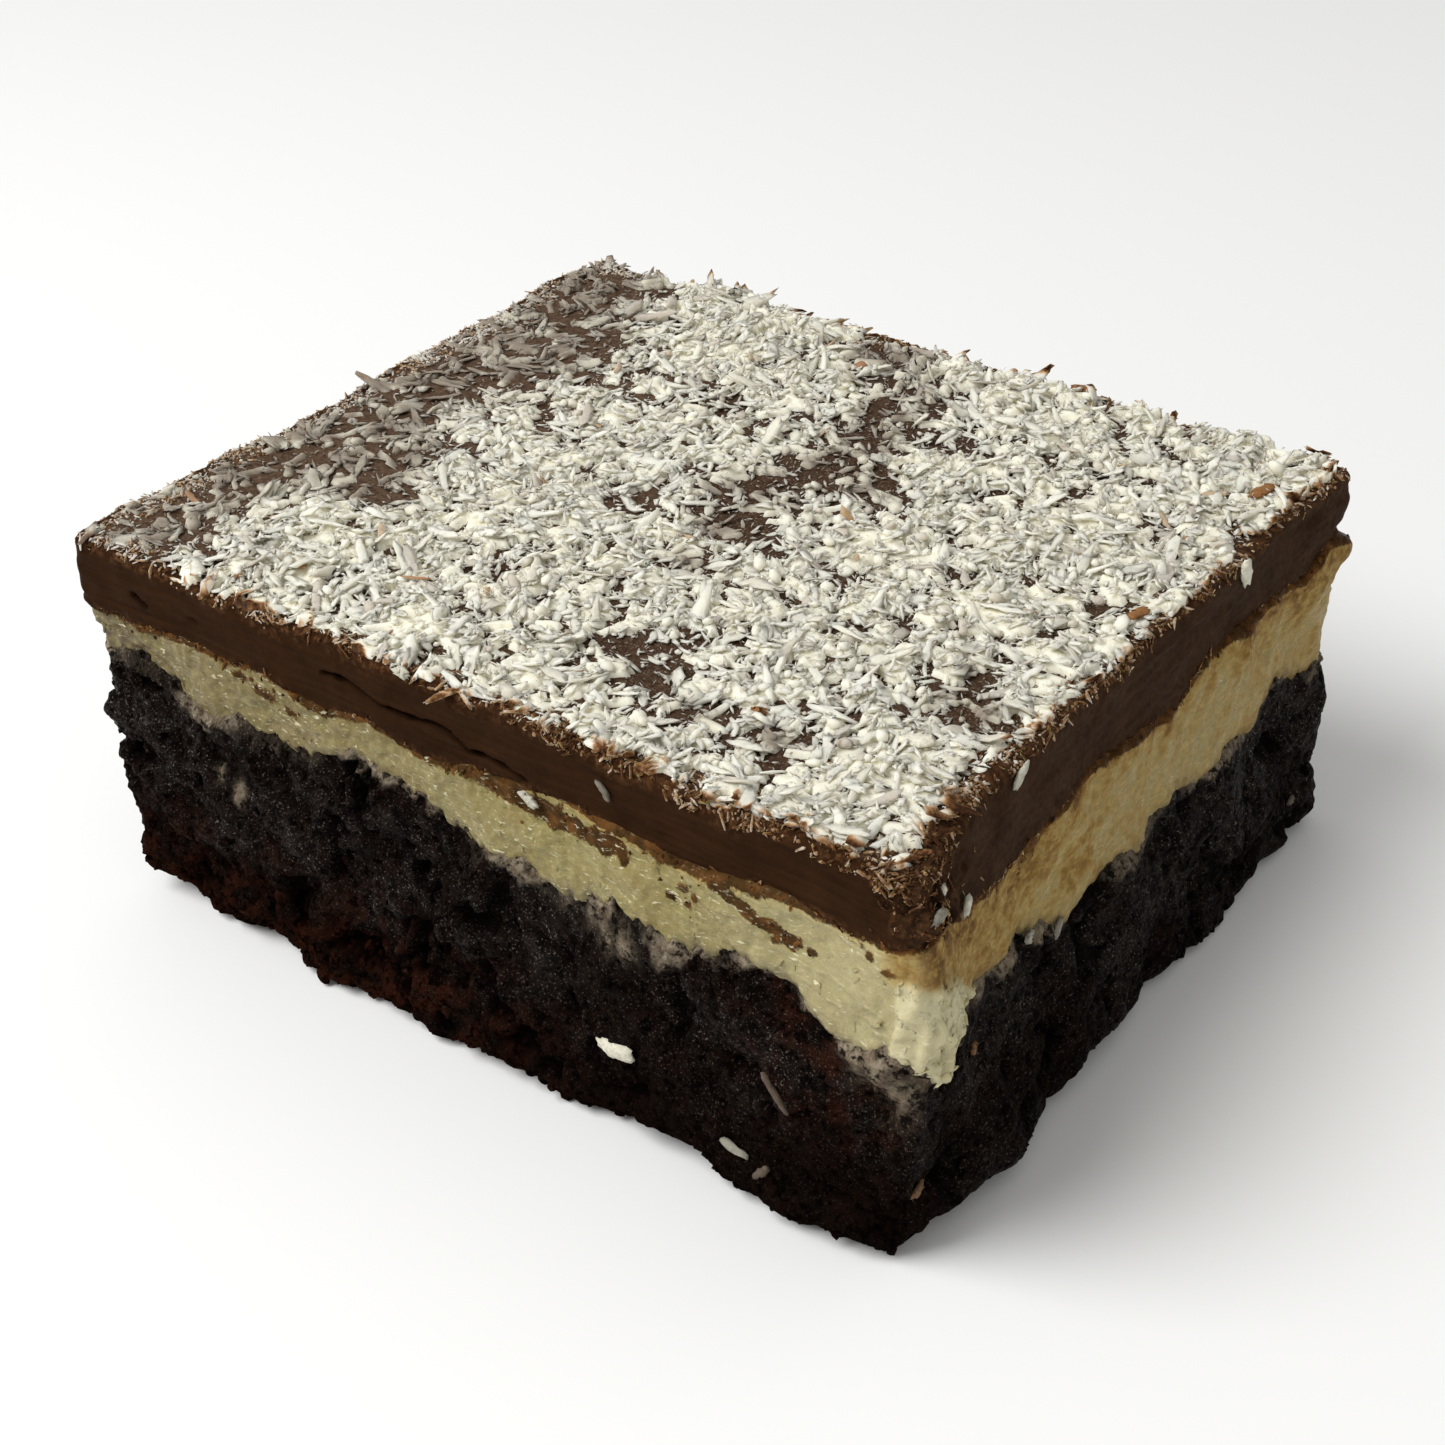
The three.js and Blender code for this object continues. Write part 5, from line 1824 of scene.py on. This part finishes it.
class BROWNIE_OT_side_flakes(bpy.types.Operator):
    """Sets single coconut flakes in the cut sides and on the top"""

    bl_idname = "brownie.side_flakes"
    bl_label = "Single flakes"

    # For each side: the way in, and how a flake that lies in plan turns on to the side
    SIDES = {
        "front": (Vector((0, 1, 0)), Matrix(((1, 0, 0), (0, 0, -1), (0, 1, 0)))),
        "right": (Vector((-1, 0, 0)), Matrix(((0, 0, 1), (1, 0, 0), (0, 1, 0)))),
        "top": (Vector((0, 0, -1)), Matrix.Identity(3)),
    }
    CARRIERS = ("brownie_base_crumb", "coconut_filling_mass", "ganache_slab_body", "coconut_heap")
    DRAW = 900
    CLEAR = {"front": 9.0, "right": 12.0}  # how far outside the slice a place is looked for
    THICKNESS = 0.5
    STANDS_OUT = 0.28
    WIDE = 1.5  # flakes over this width are smoother

    def execute(self, context):
        form = form_of(context)
        draw = np.random.default_rng(self.DRAW)
        merged = bmesh.new()
        shades = []
        for n, (side, along, height, length, width, turn, shade) in enumerate(SIDE_FLAKES):
            piece = shred_mesh(
                f"side_{n}", length, width, self.THICKNESS, draw, sides=8, stations=8, bend=0.1,
                arch=0.05, twist=0.1, uneven=0.3 if width > self.WIDE else 0.55)
            piece.data.transform(self.place_of(form, side, along, height, turn))
            before = len(merged.verts)
            merged.from_mesh(piece.data)
            shades += [shade] * (len(merged.verts) - before)
            bpy.data.objects.remove(piece)
        mesh = bpy.data.meshes.new("side_flakes")
        merged.to_mesh(mesh)
        merged.free()
        mesh.polygons.foreach_set("use_smooth", [True] * len(mesh.polygons))
        made = add_object("side_flakes", mesh)
        paint(made, "shade", np.array(shades))
        coconut = tuple(context.scene.brownie_finishes.coconut)
        tones = [*CHIP_TONES, (0.6, shade_of(coconut, 0.45)), (1.0, coconut)]
        finished(made, material=shaded_finish("side_flakes", tones, 0.5))
        return {"FINISHED"}

    def place_of(self, form, side, along, height, turn):
        """Where a flake lies on the surface: a turn on the side, and a shift to its place."""
        starts = {
            "front": (along, -form.width / 2 - self.CLEAR["front"], height),
            "right": (form.length / 2 + self.CLEAR["right"], along, height),
            "top": (along, height, form.width),  # high above the slice
        }
        inward, turned = self.SIDES[side]
        origin = Vector(np.array(starts[side]) + CENTRE_SHIFT) * MM
        found = [bpy.data.objects[name].ray_cast(origin, inward) for name in self.CARRIERS]
        hits = [location for hit, location, *_ in found if hit]
        if not hits:
            raise RuntimeError(f"A flake at {along}, {height} on the {side} misses the slice")
        nearest = min(hits, key=lambda location: (location - origin).length)
        shift = Matrix.Translation(nearest - inward * self.STANDS_OUT * MM)
        return shift @ turned.to_4x4() @ Matrix.Rotation(turn, 4, "Z")


# The stage

class BROWNIE_OT_stage(bpy.types.Operator):
    """Sets up the floor, the soft light and the camera"""

    bl_idname = "brownie.stage"
    bl_label = "Floor, light and camera"

    FLOOR_SIZE = 6.0
    FLOOR_COLOUR = (0.93, 0.93, 0.92)
    SKY_COLOUR = (1.0, 0.995, 0.98)
    LAMP_PLACE = (-0.24, -0.40, 0.62)
    LAMP_SIZE = 0.5
    SENSOR_WIDTH = 36.0
    NEAREST_SEEN = 0.01

    def execute(self, context):
        stage = context.scene.brownie_stage
        self.floor()
        self.light(context, stage)
        self.camera(context, stage)
        context.scene.view_settings.view_transform = "Standard"
        return {"FINISHED"}

    def floor(self):
        reach = self.FLOOR_SIZE / 2
        mesh = bpy.data.meshes.new("floor")
        corners = [(-reach, -reach, 0), (reach, -reach, 0), (reach, reach, 0), (-reach, reach, 0)]
        mesh.from_pydata(corners, [], [(0, 1, 2, 3)])
        mesh.materials.append(
            Finish("pale_floor").set(Base_Color=self.FLOOR_COLOUR, Roughness=0.9))
        add_object("floor", mesh)

    def light(self, context, stage):
        world = bpy.data.worlds.new("soft_sky")
        world.use_nodes = True
        background = world.node_tree.nodes["Background"]
        feed(world.node_tree, background.inputs["Color"], self.SKY_COLOUR)
        feed(world.node_tree, background.inputs["Strength"], stage.sky_strength)
        context.scene.world = world
        lamp = bpy.data.lights.new("soft_key", "AREA")
        lamp.shape = "DISK"
        lamp.size = self.LAMP_SIZE
        lamp.energy = stage.key_power
        place = Vector(self.LAMP_PLACE)
        facing = place.to_track_quat("Z", "Y").to_matrix().to_4x4()
        add_object("soft_key", lamp).matrix_world = Matrix.Translation(place) @ facing

    def camera(self, context, stage):
        azimuth, elevation, roll = stage.azimuth, stage.elevation, stage.roll
        back = Vector((
            math.sin(azimuth) * math.cos(elevation),
            -math.cos(azimuth) * math.cos(elevation),
            math.sin(elevation)))
        level = Vector((math.cos(azimuth), math.sin(azimuth), 0.0))
        upright = back.cross(level)
        right = math.cos(roll) * level + math.sin(roll) * upright
        up = math.cos(roll) * upright - math.sin(roll) * level
        foot = Vector(CENTRE_SHIFT) * MM
        place = foot + stage.distance * back - stage.aim_right * right - stage.aim_up * up
        lens = bpy.data.cameras.new("camera")
        lens.sensor_width = self.SENSOR_WIDTH
        lens.lens = stage.lens
        lens.clip_start = self.NEAREST_SEEN
        facing = Matrix((right, up, back)).transposed().to_4x4()
        camera = add_object("camera", lens)
        camera.matrix_world = Matrix.Translation(place) @ facing
        context.scene.camera = camera


class BROWNIE_PT_panel(bpy.types.Panel):
    """Lists the slice's settings and the operators that build it"""

    bl_idname = "BROWNIE_PT_panel"
    bl_label = "Coconut ganache brownie"
    bl_space_type = "VIEW_3D"
    bl_region_type = "UI"
    bl_category = "Brownie"

    def draw(self, context):
        layout = self.layout
        for attribute, title in SETTINGS.items():
            box = layout.box()
            box.label(text=title)
            settings = getattr(context.scene, attribute)
            for key in settings.__annotations__:
                box.prop(settings, key)
        for operator in OPERATORS:
            layout.operator(operator.bl_idname)


SETTINGS = {
    "brownie_sizes": "Sizes",
    "brownie_strewing": "Coconut",
    "brownie_finishes": "Colours",
    "brownie_stage": "Camera and light",
}
GROUPS = (SliceSizes, Strewing, Finishes, StageSettings)
OPERATORS = (
    BROWNIE_OT_base,
    BROWNIE_OT_filling,
    BROWNIE_OT_ganache,
    BROWNIE_OT_coconut,
    BROWNIE_OT_side_flakes,
    BROWNIE_OT_stage,
)


def register():
    for made in (*GROUPS, *OPERATORS, BROWNIE_PT_panel):
        bpy.utils.register_class(made)
    for attribute, group in zip(SETTINGS, GROUPS):
        setattr(bpy.types.Scene, attribute, PointerProperty(type=group))


def unregister():
    for attribute in SETTINGS:
        delattr(bpy.types.Scene, attribute)
    for made in reversed((*GROUPS, *OPERATORS, BROWNIE_PT_panel)):
        bpy.utils.unregister_class(made)


def main():
    register()
    for operator in OPERATORS:
        group, name = operator.bl_idname.split(".")
        getattr(getattr(bpy.ops, group), name)()


if __name__ == "__main__":
    main()
